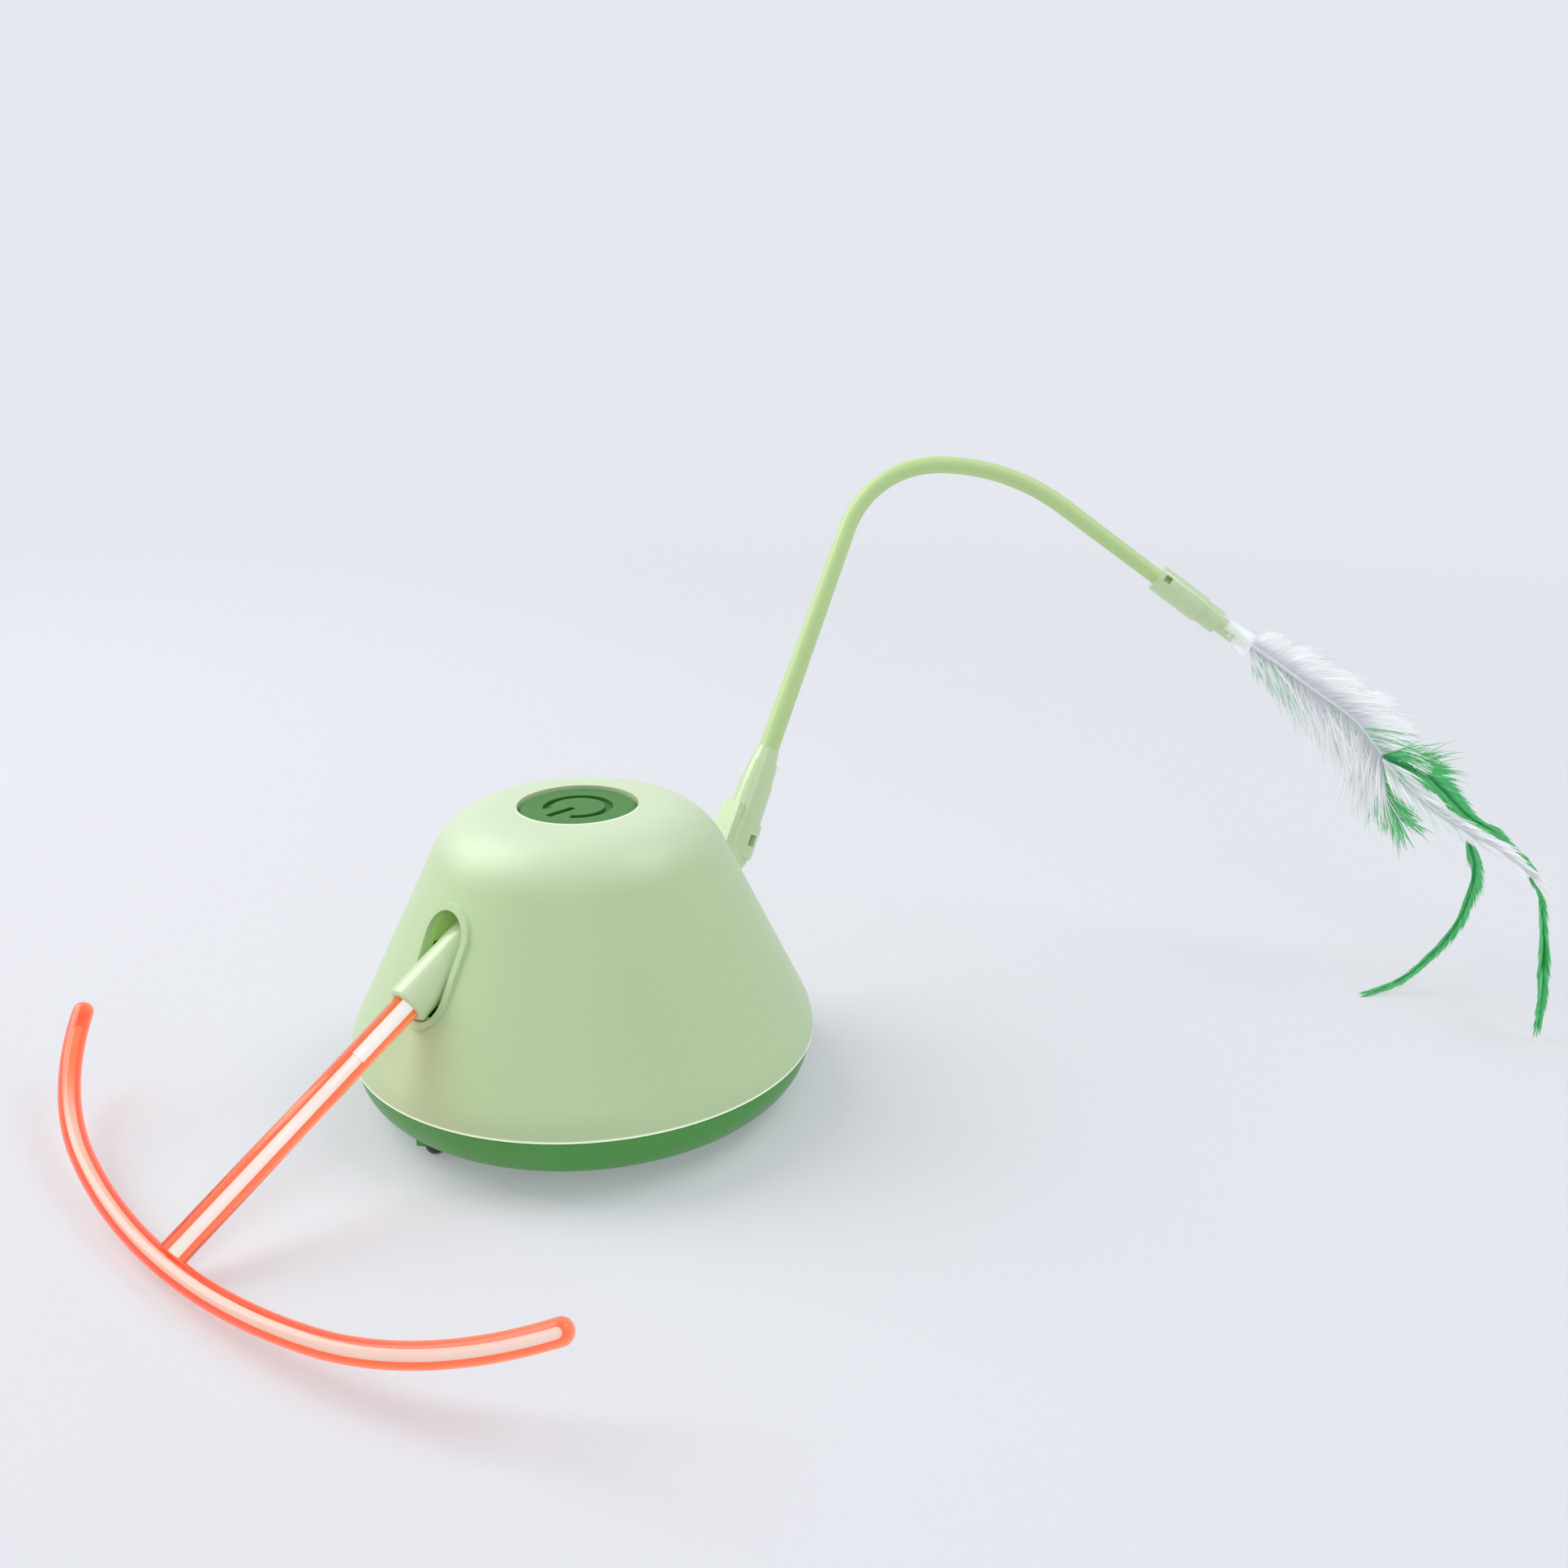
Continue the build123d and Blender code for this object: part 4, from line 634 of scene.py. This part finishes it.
def bent_bar(radius, left_share=1.0, right_share=1.0, sides=TUBE_SIDES):
    """The bar, or a core that fills a share of each end's arc, with round ends."""
    mesh = bmesh.new()
    crown = HINGE + OUTWARD * BAR_REACH
    middle = crown - OUTWARD * MIDDLE_ARC_RADIUS
    for side, share in ((1, right_share), (-1, left_share)):
        edges = ring(mesh, crown, ACROSS, radius, sides)
        first = -side * MIDDLE_ARC_TURN
        edges = spun(mesh, edges, middle, first, MIDDLE_ARC_STEPS)
        joint = middle + Matrix.Rotation(first, 3, LEVEL) @ (crown - middle)
        centre = joint + (middle - joint).normalized() * END_ARC_RADIUS
        second = -side * END_ARC_TURN * share
        edges = spun(mesh, edges, centre, second, END_ARC_STEPS)
        end = centre + Matrix.Rotation(second, 3, LEVEL) @ (joint - centre)
        heading = Matrix.Rotation(first + second, 3, LEVEL) @ (ACROSS * side)
        round_end(mesh, edges, end, heading, radius)
    bmesh.ops.remove_doubles(mesh, verts=mesh.verts, dist=1e-6)
    bmesh.ops.recalc_face_normals(mesh, faces=mesh.faces)
    return mesh


def straight_tube(start, end, radius, sides=TUBE_SIDES):
    """A closed round bar between two places."""
    mesh = bmesh.new()
    edges = ring(mesh, start, (end - start).normalized(), radius, sides)
    bmesh.ops.contextual_create(mesh, geom=edges)
    edges, verts = grow(mesh, edges)
    bmesh.ops.translate(mesh, vec=end - start, verts=verts)
    bmesh.ops.contextual_create(mesh, geom=edges)
    bmesh.ops.recalc_face_normals(mesh, faces=mesh.faces)
    return mesh


class Line:
    """A smooth line through places, from 0 to 1."""

    def __init__(self, places):
        self.places = places

    def at(self, share):
        """The place at a share of the line."""
        spans = len(self.places) - 1
        step = min(int(share * spans), spans - 1)
        part = share * spans - step
        a, b, c, d = [self.places[min(max(step + i, 0), spans)] for i in (-1, 0, 1, 2)]
        return 0.5 * (2 * b + (c - a) * part + (2 * a - 5 * b + 4 * c - d) * part ** 2
                      + (3 * b - a - 3 * c + d) * part ** 3)

    def heading(self, share, near=0.01):
        """The line's direction at a share of it."""
        return (self.at(min(share + near, 1)) - self.at(max(share - near, 0))).normalized()


class Barb:
    """One barb, bent from its root past a middle to its tip."""

    def __init__(self, root, middle, tip, width, tone, mixed, face):
        self.root, self.middle, self.tip = root, middle, tip
        self.width, self.tone, self.mixed, self.face = width, tone, mixed, face

    def at(self, share):
        """The place at a share of the barb."""
        rest = 1 - share
        return (self.root * rest * rest + self.middle * 2 * rest * share
                + self.tip * share * share)

    def edge(self, share, near=0.05):
        """Both sides of the barb at a share of it, tapering to its tip."""
        heading = (self.at(min(share + near, 1)) - self.at(max(share - near, 0))).normalized()
        taper = 0.45 + 0.55 * sin(pi * min(share * 1.1, 1)) - 0.38 * share
        half = heading.cross(self.face).normalized() * self.width * taper
        place = self.at(share)
        return place - half, place + half


def lay_barbs(barbs, steps=6):
    """A mesh of tapering barbs, all grown together from their roots."""
    mesh = bmesh.new()
    layer = mesh.verts.layers.float_color.new("barb")
    rows = []
    for barb in barbs:
        pair = [mesh.verts.new(place) for place in barb.edge(0)]
        for vert in pair:
            vert[layer] = (0, barb.tone, barb.mixed, 1)
        mesh.edges.new(pair)
        rows.append(pair)
    for step in range(1, steps + 1):
        share = step / steps
        edges = [mesh.edges.get(pair) for pair in rows]
        before = [set(edge.link_faces) for edge in edges]
        bmesh.ops.extrude_edge_only(mesh, edges=edges)
        for row, (barb, edge) in enumerate(zip(barbs, edges)):
            face = next(face for face in edge.link_faces if face not in before[row])
            sides = set(face.edges) - {edge}
            pair = []
            for near, place in zip(rows[row], barb.edge(share)):
                side = next(rim for rim in near.link_edges if rim in sides)
                vert = side.other_vert(near)
                vert.co = place
                vert[layer] = (share, barb.tone, barb.mixed, 1)
                pair.append(vert)
            rows[row] = pair
    return mesh


def vane_barbs(line, count, side, reach, angle, width, seed, spread=0.10, clumps=0, mixed=None,
               bow=14, start=0.02, end=1.0, camber=0.0, lift=0.0006, face=WAND_SIDE, loose=0.09,
               tones=(0.0, 1.0)):
    """Barbs along one side of a spine.

    reach and angle give a barb's length and its lean in degrees at a share of the spine, spread
    and loose how much these vary. Barbs bow by some degrees towards the tip, rise off the vane
    by lift and camber, and draw together into clumps where clumps is more than 0. tones is the
    range of their shade, and mixed the share of another colour in each.
    """
    chance = random.Random(seed)
    barbs = []
    for number in range(count):
        share = start + (end - start) * (number + chance.uniform(-0.4, 0.4)) / count
        share = min(max(share, 0), 1)
        root = line.at(share)
        heading = line.heading(share)
        outward = heading.cross(face) * side
        size = reach(share) * (1 + chance.gauss(0, spread))
        lean = radians(angle(share) * (1 + chance.gauss(0, loose)))
        late = lean - radians(bow)
        flow = heading * cos(lean) + outward * sin(lean)
        flat = heading * cos(late) + outward * sin(late)
        rise = chance.gauss(0, 1) * lift + camber * size
        tip = root + flat * size + face * rise
        if clumps:
            group = (int(share * clumps) + 0.5) / clumps
            along = line.heading(group)
            shared = along * cos(late) + along.cross(face) * side * sin(late)
            target = line.at(group) + shared * reach(group) + face * camber * size
            tip = tip.lerp(target, 0.45)
        middle = root + flow * size * 0.55 + face * rise * 0.3
        twist = Matrix.Rotation(chance.gauss(0, 0.30), 3, flow)
        barbs.append(Barb(root, middle, tip, width * chance.uniform(0.75, 1.15),
                          chance.uniform(*tones), mixed(share, chance) if mixed else 0.0,
                          twist @ face))
    return barbs


def vane(line, count, sides, *shape, **more):
    """Barbs along both sides of a spine, each side with its own seed."""
    return [barb for side, seed in sides
            for barb in vane_barbs(line, count, side, *shape, seed, **more)]


def shaft(mesh, line, thick, thin, tone, sides=8, steps=24):
    """A round tapering spine along a line."""
    layer = mesh.verts.layers.float_color.get("barb")
    edges = ring(mesh, line.at(0), line.heading(0), thick, sides)
    for edge in edges:
        for vert in edge.verts:
            vert[layer] = (*tone, 1)
    bmesh.ops.contextual_create(mesh, geom=edges)
    last_place, last_heading, last_radius = line.at(0), line.heading(0), thick
    for step in range(1, steps + 1):
        share = step / steps
        place, heading, radius = line.at(share), line.heading(share), thick + (thin - thick) * share
        edges, verts = grow(mesh, edges)
        turn = last_heading.rotation_difference(heading).to_matrix()
        for vert in verts:
            vert.co = place + turn @ (vert.co - last_place) * (radius / last_radius)
            vert[layer] = (*tone, 1)
        last_place, last_heading, last_radius = place, heading, radius
    bmesh.ops.contextual_create(mesh, geom=edges)


# Shaft tones: share along a barb, light or dark, and share of the other colour
WHITE_SHAFT = (0.2, 0.5, 0.0)
GREEN_SHAFT = (0.0, 0.3, 0.0)
PALE_SHAFT = (1.0, 0.9, 1.0)


def feather(name, barbs, line, thick, thin, tone, finish, slot, stands_for):
    """Makes a feather from its barbs and a spine that tapers from thick to thin."""
    mesh = lay_barbs(barbs)
    shaft(mesh, line, thick, thin, tone)
    new_piece(name, mesh, finish, "body", slot, stands_for)


# Lengths and leans of barbs, and shares of another colour in them, at a share of their spine

def plume_upper_reach(share):
    """Shortest at the quill, longest in the middle."""
    return (5.0 + 9.2 * min(share * 2.0, 1) - 12.0 * max(share - 0.75, 0)) * MM


def plume_upper_lean(share):
    """Steep at the quill, then laid back."""
    return 74 - 30 * min(share * 2.4, 1)


def plume_lower_reach(share):
    """Fluff, which grows up to the middle."""
    return (7.0 + 8.5 * min(share * 2.0, 1)) * MM


def plume_lower_lean(share):
    """Fluff hangs a little steeper to the tip."""
    return 46 + 10 * share


def loose_upper_reach(share):
    """A few barbs stand past the others."""
    return plume_upper_reach(share) * 1.05


def loose_upper_lean(share):
    """They also lean out more."""
    return plume_upper_lean(share) + 6


def green_tips(share, chance):
    """Green in a third of the last barbs."""
    return 0.75 if share > 0.78 and chance.random() < 0.35 else 0.0


def green_roots(share, chance):
    """Green in a third of the first barbs and a few others."""
    return 0.45 if chance.random() < (0.35 if share < 0.3 else 0.06) else 0.0


def blade_reach(share):
    """The narrow white feather tapers to its tip."""
    return (9.5 - 3.8 * share) * MM


def blade_lean(share):
    """Its barbs lie close to its spine."""
    return 24 - 9 * share


def green_hint(share, chance):
    """Some green in half of the first barbs."""
    return 0.22 if share < 0.45 and chance.random() < 0.5 else 0.0


def vane_reach(share):
    """The green vane is widest close to its root."""
    return (6.0 + 4.0 * min(share * 8, 1) - 3.0 * min(share * 2, 1) - 3.2 * share) * MM


def vane_lean(share):
    """It opens at its root and closes to its tip."""
    return 42 - 28 * min(share * 1.7, 1)


def white_roots(share, chance):
    """A few white barbs at the root."""
    return 0.6 if share < 0.16 and chance.random() < 0.10 else 0.0


def fringe_reach(share):
    """Thin barbs past the vane's edge, all of one length."""
    return 10.5 * MM


def fringe_lean(share):
    """They close to the tip."""
    return 46 - 20 * share


def tuft_reach(share):
    """The green tuft tapers a little."""
    return (9.5 - 3.0 * share) * MM


def tuft_lean(share):
    """It is open all along."""
    return 36 - 10 * share


def white_half(share, chance):
    """Some white in half of the tuft's barbs."""
    return 0.35 if chance.random() < 0.5 else 0.0


def strip_reach(share):
    """The strips taper to the floor."""
    return (8.0 - 3.5 * share) * MM


def near_lean(share):
    """Barbs of the near strip lie close to its spine."""
    return 14 - 6 * share


def far_lean(share):
    """The far strip is a little wider."""
    return 17 - 6 * share


# Spines, in millimetres across, up and to the side in the wand's plane
PLUME_SPINE = [(112.2, 35.2), (119.6, 29.8), (127.2, 24.1), (136.1, 17.2), (142.3, 8.7)]
BLADE_SPINE = [(141.5, 8.5, 0.9), (145.5, 3.8, 0.9), (152.6, -2.8, 0.9), (160.4, -8.0, 0.9),
               (165.8, -11.1, 0.9), (171.2, -15.4, 0.9), (176.3, -19.3, 0.9)]
VANE_SPINE = [(141.8, 9.4, 0.6), (146.0, 7.3, 0.5), (152.6, 4.2, 0.1), (160.9, -4.2, -0.4),
              (166.3, -7.8, -0.4), (171.3, -12.5, -0.4), (174.6, -16.3, -0.4)]
TUFT_SPINE = [(139.0, 9.0, -1.5), (141.6, 3.0, -1.5), (144.8, -3.0, -1.5), (149.0, -10.3, -1.5)]

# Spines of the strips, in millimetres in the solids' own frame
NEAR_SPINE = [(114.0, 159.2, 37.0), (115.6, 162.1, 30.5), (116.0, 162.4, 25.7),
              (115.2, 161.2, 17.9), (112.8, 157.7, 11.0), (109.0, 151.9, 4.7),
              (105.5, 146.3, 1.9), (101.9, 141.1, 0.6)]
FAR_SPINE = [(126.3, 166.7, 28.1), (131.1, 157.7, 27.3), (135.3, 147.6, 23.2),
             (136.5, 146.3, 17.5), (137.4, 145.6, 11.1), (137.8, 145.5, 0.7)]


def wand_line(places):
    """A line through places in the wand's plane."""
    return Line([wand(*place) for place in places])


class TEASER_OT_stage(bpy.types.Operator):
    """Floor, backdrop, lamps, sky and camera"""
    bl_idname = "teaser.stage"
    bl_label = "Stage"
    bl_options = {"REGISTER", "UNDO"}

    def execute(self, context):
        scene, colours = context.scene, context.scene.teaser_colours
        scene.view_settings.view_transform = "Standard"
        self.lay_floor(colours)
        self.light_room(scene, colours)
        for name, lamp in LAMPS.items():
            self.hang_lamp(name, *lamp)
        self.set_camera(scene)
        return {"FINISHED"}

    def lay_floor(self, colours):
        """Paper under the lamps that turns into an even backdrop far off."""
        finish = Finish("stage_paper", Roughness=0.9, Specular_IOR_Level=0.1)
        grain = finish.noise(500)
        finish.skin(finish.tint(colours.paper, grain, 0.004), None, grain, strength=0.1)
        far = finish.span(finish.away(finish.place), *FLOOR_FADE, *FLOOR_FADE_SHARE)
        glow = finish.node("ShaderNodeEmission", None, {"Color": colours.floor, "Strength": 1.0})
        finish.end("Material Output", "Surface", finish.node("ShaderNodeMixShader", None, {
            0: far, 1: finish.given("Principled BSDF"), 2: glow}))
        mesh = bmesh.new()
        bmesh.ops.create_grid(mesh, x_segments=1, y_segments=1, size=FLOOR_HALF_WIDTH)
        floor = add("floor", to_data("floor", mesh, finish.material))

    def light_room(self, scene, colours):
        """Soft light from all round, and the backdrop's colour where it is seen."""
        world = bpy.data.worlds.new("room")
        scene.world = world
        world.use_nodes = True
        sky = Tree(world.node_tree)
        sky.end("Background", "Color", ROOM_TONE)
        sky.end("Background", "Strength", ROOM_STRENGTH)
        seen = sky.node("ShaderNodeBackground", None, {"Color": colours.floor})
        rays = sky.parts("ShaderNodeLightPath")
        shown = rays["Is Camera Ray"]
        for kind in ("Is Glossy Ray", "Is Transmission Ray"):
            shown = shown.sum("MAXIMUM", shown, rays[kind])
        sky.end("World Output", "Surface", sky.node("ShaderNodeMixShader", None, {
            0: shown, 1: sky.given("Background"), 2: seen}))

    def hang_lamp(self, name, place, target, width, height, power, tone):
        """A soft box aimed at a place."""
        light = bpy.data.lights.new(name, "AREA")
        light.shape = "RECTANGLE"
        light.size, light.size_y = width, height
        light.energy = power
        light.color = tone
        lamp = add(name, light)
        lamp.location = place
        lamp.rotation_euler = (Vector(target) - Vector(place)).to_track_quat("-Z", "Y").to_euler()

    def set_camera(self, scene):
        """The photograph's view."""
        lens = bpy.data.cameras.new("camera")
        lens.lens = CAMERA_LENS
        lens.clip_start = CAMERA_NEAR
        turn = CAMERA_LOOK.to_track_quat("-Z", "Y").to_matrix().to_4x4()
        scene.camera = add("camera", lens)
        scene.camera.matrix_world = (Matrix.Translation(CAMERA_PLACE) @ turn
                                     @ Matrix.Rotation(CAMERA_ROLL, 4, "Z"))


class TEASER_OT_casing(bpy.types.Operator):
    """Finish of the casing, the button and the wand"""
    bl_idname = "teaser.casing"
    bl_label = "Casing, button and wand"
    bl_options = {"REGISTER", "UNDO"}

    def execute(self, context):
        colours = context.scene.teaser_colours
        dress(casing_finish(colours), "top_shell")
        dress(dish_finish(colours), "bottom_shell", "caster_cage")
        dress(button_finish(colours), "power_button")
        dress(plastic("nozzle_pale", colours.nozzle, rough=0.24, grain=0.2, Coat_Weight=0.35,
                      Coat_Roughness=0.12),
              "nozzle_arm", "wand_socket", "wand_boot", "feather_connector")
        dress(wand_finish(colours), "wand_rod")
        dress(ball_finish(), "caster_ball")
        return {"FINISHED"}


def pairs(*names):
    """Names of solids that are there left and right."""
    return [side + name for name in names for side in ("left_", "right_")]


class TEASER_OT_works(bpy.types.Operator):
    """Finish of the drive, the boards and the fixings"""
    bl_idname = "teaser.works"
    bl_label = "Drive and boards"
    bl_options = {"REGISTER", "UNDO"}

    def execute(self, context):
        dress(plastic("gear_nylon", paint(232, 231, 224), rough=0.42),
              *pairs("wheel_gear", "compound_gear", "pinion"))
        dress(plastic("frame_grey", paint(150, 156, 158), rough=0.5, cloud=0.04, grain=0.4),
              *pairs("gear_frame"))
        dress(plastic("hub_white", paint(226, 230, 224), rough=0.38), *pairs("wheel_hub"))
        dress(rubber_finish(), *pairs("tyre"))
        dress(metal_finish("motor_can", paint(184, 186, 188), rough=0.32), *pairs("motor"))
        dress(metal_finish("drawn_steel", paint(176, 178, 182), rough=0.26),
              "board_screws", "case_screws", "frame_screws", "gear_pins", "motor_screws",
              "nozzle_pin", "socket_screws", "usb_screws", "usb_port",
              *pairs("axle", "motor_shaft"))
        dress(metal_finish("turned_brass", paint(206, 172, 96), rough=0.3), "axle_bushes")
        dress(board_finish(), "main_board", "usb_board")
        dress(plastic("chip_black", paint(34, 35, 37), rough=0.5, cloud=0.06, grain=0.5),
              "board_components")
        dress(plastic("switch_black", paint(24, 25, 26), rough=0.42, cloud=0.05),
              "tact_switch", "switch_plunger")
        dress(foil_finish(), "battery_cell")
        return {"FINISHED"}


class TEASER_OT_bumper(bpy.types.Operator):
    """Clear orange stem and bar, each with its pale core, which glows as painted light"""
    bl_idname = "teaser.bumper"
    bl_label = "Bumper tube"
    bl_options = {"REGISTER", "UNDO"}

    def execute(self, context):
        sizes, colours = context.scene.teaser_sizes, context.scene.teaser_colours
        # Strength of each core's painted glow
        stem_core = core_finish("stem_core", colours, strength=1.9)
        bar_core = core_finish("bar_core", colours, strength=1.5)
        dress(stem_core, "stem_peg")

        stem, bar = sizes.stem_radius, sizes.bar_radius
        start = HINGE + OUTWARD * (NOZZLE_END - STEM_IN_NOZZLE)
        end = HINGE + OUTWARD * (BAR_REACH - STEM_INTO_BAR_SHARE * bar)
        new_piece("bumper_stem_tube", straight_tube(start, end, stem),
                  tube_finish("stem_orange", stem), "bumper", "orange_tube", "bumper_stem")
        core_start = HINGE + OUTWARD * (NOZZLE_END + PEG_PAST_NOZZLE)
        core_end = end - OUTWARD * CORE_SHORT_OF_BAR
        new_piece("bumper_stem_core",
                  straight_tube(core_start, core_end, stem * sizes.core_share, STEM_CORE_SIDES),
                  stem_core, "bumper", "pale_peg")
        new_piece("bumper_bar_tube", bent_bar(bar), tube_finish("bar_orange", bar), "bumper",
                  "orange_tube", "bumper_arc")
        new_piece("bumper_bar_core",
                  bent_bar(bar * sizes.core_share, CORE_LEFT_SHARE, CORE_RIGHT_SHARE,
                           BAR_CORE_SIDES),
                  bar_core, "bumper", "pale_peg")
        return {"FINISHED"}


class TEASER_OT_holder(bpy.types.Operator):
    """Film round the quills, with its torn lower edge"""
    bl_idname = "teaser.holder"
    bl_label = "Film and quills"
    bl_options = {"REGISTER", "UNDO"}

    def execute(self, context):
        dress(quill_finish(), "quill_bundle")
        chance = random.Random(5)
        fall = (WAND_OUT * cos(SLEEVE_FALL) - WAND_UP * sin(SLEEVE_FALL)).normalized()
        start = wand(*SLEEVE_START) + fall * FILM_START
        mesh = bmesh.new()
        radius = context.scene.teaser_sizes.film_radius * FILM_START_SHARE
        edges = ring(mesh, start, fall, radius, FILM_SIDES)
        for step in range(1, FILM_STEPS + 1):
            edges, verts = grow(mesh, edges)
            middle = start + fall * step * FILM_STEP
            for vert in verts:
                out = vert.co - start
                out -= fall * out.dot(fall)
                low = max(-out.normalized().dot(WAND_UP), 0)
                ragged = 0.5 * low * (step > FILM_FRAYS_AFTER) + chance.uniform(-0.12, 0.12)
                wide = 1.02 + 0.05 * chance.uniform(-1, 1)
                wide += 0.10 * low * (step > FILM_WIDENS_AFTER)
                vert.co = middle + out * wide + fall * ragged * FILM_FRAY
        bmesh.ops.recalc_face_normals(mesh, faces=mesh.faces)
        film = new_piece("feather_film", mesh, film_finish(), "body", "film", "feather_sheath")
        film.modifiers.new("thickness", "SOLIDIFY").thickness = FILM_THICKNESS
        return {"FINISHED"}


class TEASER_OT_white_feather(bpy.types.Operator):
    """White feather, its fluff and its narrow neighbour"""
    bl_idname = "teaser.white_feather"
    bl_label = "White feathers"
    bl_options = {"REGISTER", "UNDO"}

    def execute(self, context):
        sizes, colours = context.scene.teaser_sizes, context.scene.teaser_colours
        white = barb_finish("feather_white", colours.feather, colours.shade, colours.vane,
                            glow=0.15, reach=0.5)
        width = sizes.barb_width
        line = wand_line(PLUME_SPINE)
        barbs = vane_barbs(line, sizes.upper_barbs, -1, plume_upper_reach, plume_upper_lean,
                           width, seed=11, spread=0.06, clumps=6, mixed=green_tips, bow=10,
                           camber=0.03, tones=(0.35, 0.9))
        barbs += vane_barbs(line, sizes.lower_barbs, 1, plume_lower_reach, plume_lower_lean,
                            width, seed=12, spread=0.20, clumps=11, mixed=green_roots, bow=8,
                            lift=0.0012, loose=0.14, tones=(0.0, 0.3))
        barbs += vane_barbs(line, 130, -1, loose_upper_reach, loose_upper_lean, width * 0.5,
                            seed=13, spread=0.12, mixed=green_tips, lift=0.0016)
        feather("white_plume", barbs, line, 0.5 * MM, 0.16 * MM, WHITE_SHAFT, white,
                "feather_white", "white_feather")

        line = wand_line(BLADE_SPINE)
        barbs = vane(line, 190, ((-1, 21), (1, 22)), blade_reach, blade_lean, width,
                     mixed=green_hint, bow=6, start=0.0, end=0.93, lift=0.0003)
        feather("white_blade", barbs, line, 0.32 * MM, 0.1 * MM, WHITE_SHAFT, white,
                "feather_white", "white_streamer")
        return {"FINISHED"}


class TEASER_OT_green_feather(bpy.types.Operator):
    """Dyed green vane, tuft and the two long strips"""
    bl_idname = "teaser.green_feather"
    bl_label = "Green feathers"
    bl_options = {"REGISTER", "UNDO"}

    def execute(self, context):
        sizes, colours = context.scene.teaser_sizes, context.scene.teaser_colours
        green = barb_finish("feather_green", colours.vane, colours.deep, colours.feather,
                            glow=0.22, reach=0.35)
        width = sizes.barb_width
        line = wand_line(VANE_SPINE)
        barbs = vane(line, 340, ((-1, 31), (1, 32)), vane_reach, vane_lean, width,
                     mixed=white_roots, bow=6, start=0.0, end=0.93, lift=0.0004)
        barbs += vane_barbs(line, 60, -1, fringe_reach, fringe_lean, width * 0.5, seed=33,
                            spread=0.22, bow=12, start=0.0, end=0.32, lift=0.0008, loose=0.2)
        feather("green_vane", barbs, line, 0.35 * MM, 0.1 * MM, GREEN_SHAFT, green,
                "feather_green", "green_feather")

        line = wand_line(TUFT_SPINE)
        barbs = vane(line, 110, ((-1, 41), (1, 42)), tuft_reach, tuft_lean, width, spread=0.2,
                     mixed=white_half, bow=5, start=0.0, end=0.75, lift=0.0007, loose=0.3)
        feather("green_fan", barbs, line, 0.25 * MM, 0.08 * MM, PALE_SHAFT, green,
                "feather_green", "green_tuft")

        for name, stands_for, places, lean, sides in (
                ("near_strip", "green_strip_near", NEAR_SPINE, near_lean, ((1, 52), (-1, 50))),
                ("far_strip", "green_strip_far", FAR_SPINE, far_lean, ((1, 62), (-1, 60)))):
            line = Line([Vector(place) * MM for place in places])
            barbs = vane(line, 150, sides, strip_reach, lean, width, spread=0.07, bow=3,
                         start=0.0, end=0.91, lift=0.0002, face=STRIP_FACE)
            feather(name, barbs, line, 0.3 * MM, 0.08 * MM, GREEN_SHAFT, green,
                    "feather_green", stands_for)
        return {"FINISHED"}


class TEASER_PT_panel(bpy.types.Panel):
    """Steps and settings of the cat teaser"""
    bl_label = "Cat teaser"
    bl_idname = "TEASER_PT_panel"
    bl_space_type = "VIEW_3D"
    bl_region_type = "UI"
    bl_category = "Cat teaser"

    def draw(self, context):
        for step in STEPS:
            self.layout.operator(step.bl_idname)
        for group in (context.scene.teaser_sizes, context.scene.teaser_colours):
            box = self.layout.box()
            for name in group.__annotations__:
                box.prop(group, name)


STEPS = (TEASER_OT_stage, TEASER_OT_casing, TEASER_OT_works, TEASER_OT_bumper, TEASER_OT_holder,
         TEASER_OT_white_feather, TEASER_OT_green_feather)
CLASSES = (TeaserSizes, TeaserColours, *STEPS, TEASER_PT_panel)


def register():
    """Adds the steps and their settings."""
    for group in CLASSES:
        bpy.utils.register_class(group)
    bpy.types.Scene.teaser_sizes = bpy.props.PointerProperty(type=TeaserSizes)
    bpy.types.Scene.teaser_colours = bpy.props.PointerProperty(type=TeaserColours)


def unregister():
    """Takes both away again."""
    del bpy.types.Scene.teaser_colours
    del bpy.types.Scene.teaser_sizes
    for group in reversed(CLASSES):
        bpy.utils.unregister_class(group)


def main():
    """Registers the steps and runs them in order."""
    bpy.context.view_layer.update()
    register()
    bpy.ops.teaser.stage()
    bpy.ops.teaser.casing()
    bpy.ops.teaser.works()
    bpy.ops.teaser.bumper()
    bpy.ops.teaser.holder()
    bpy.ops.teaser.white_feather()
    bpy.ops.teaser.green_feather()
    bpy.context.view_layer.update()


if __name__ == "__main__":
    main()
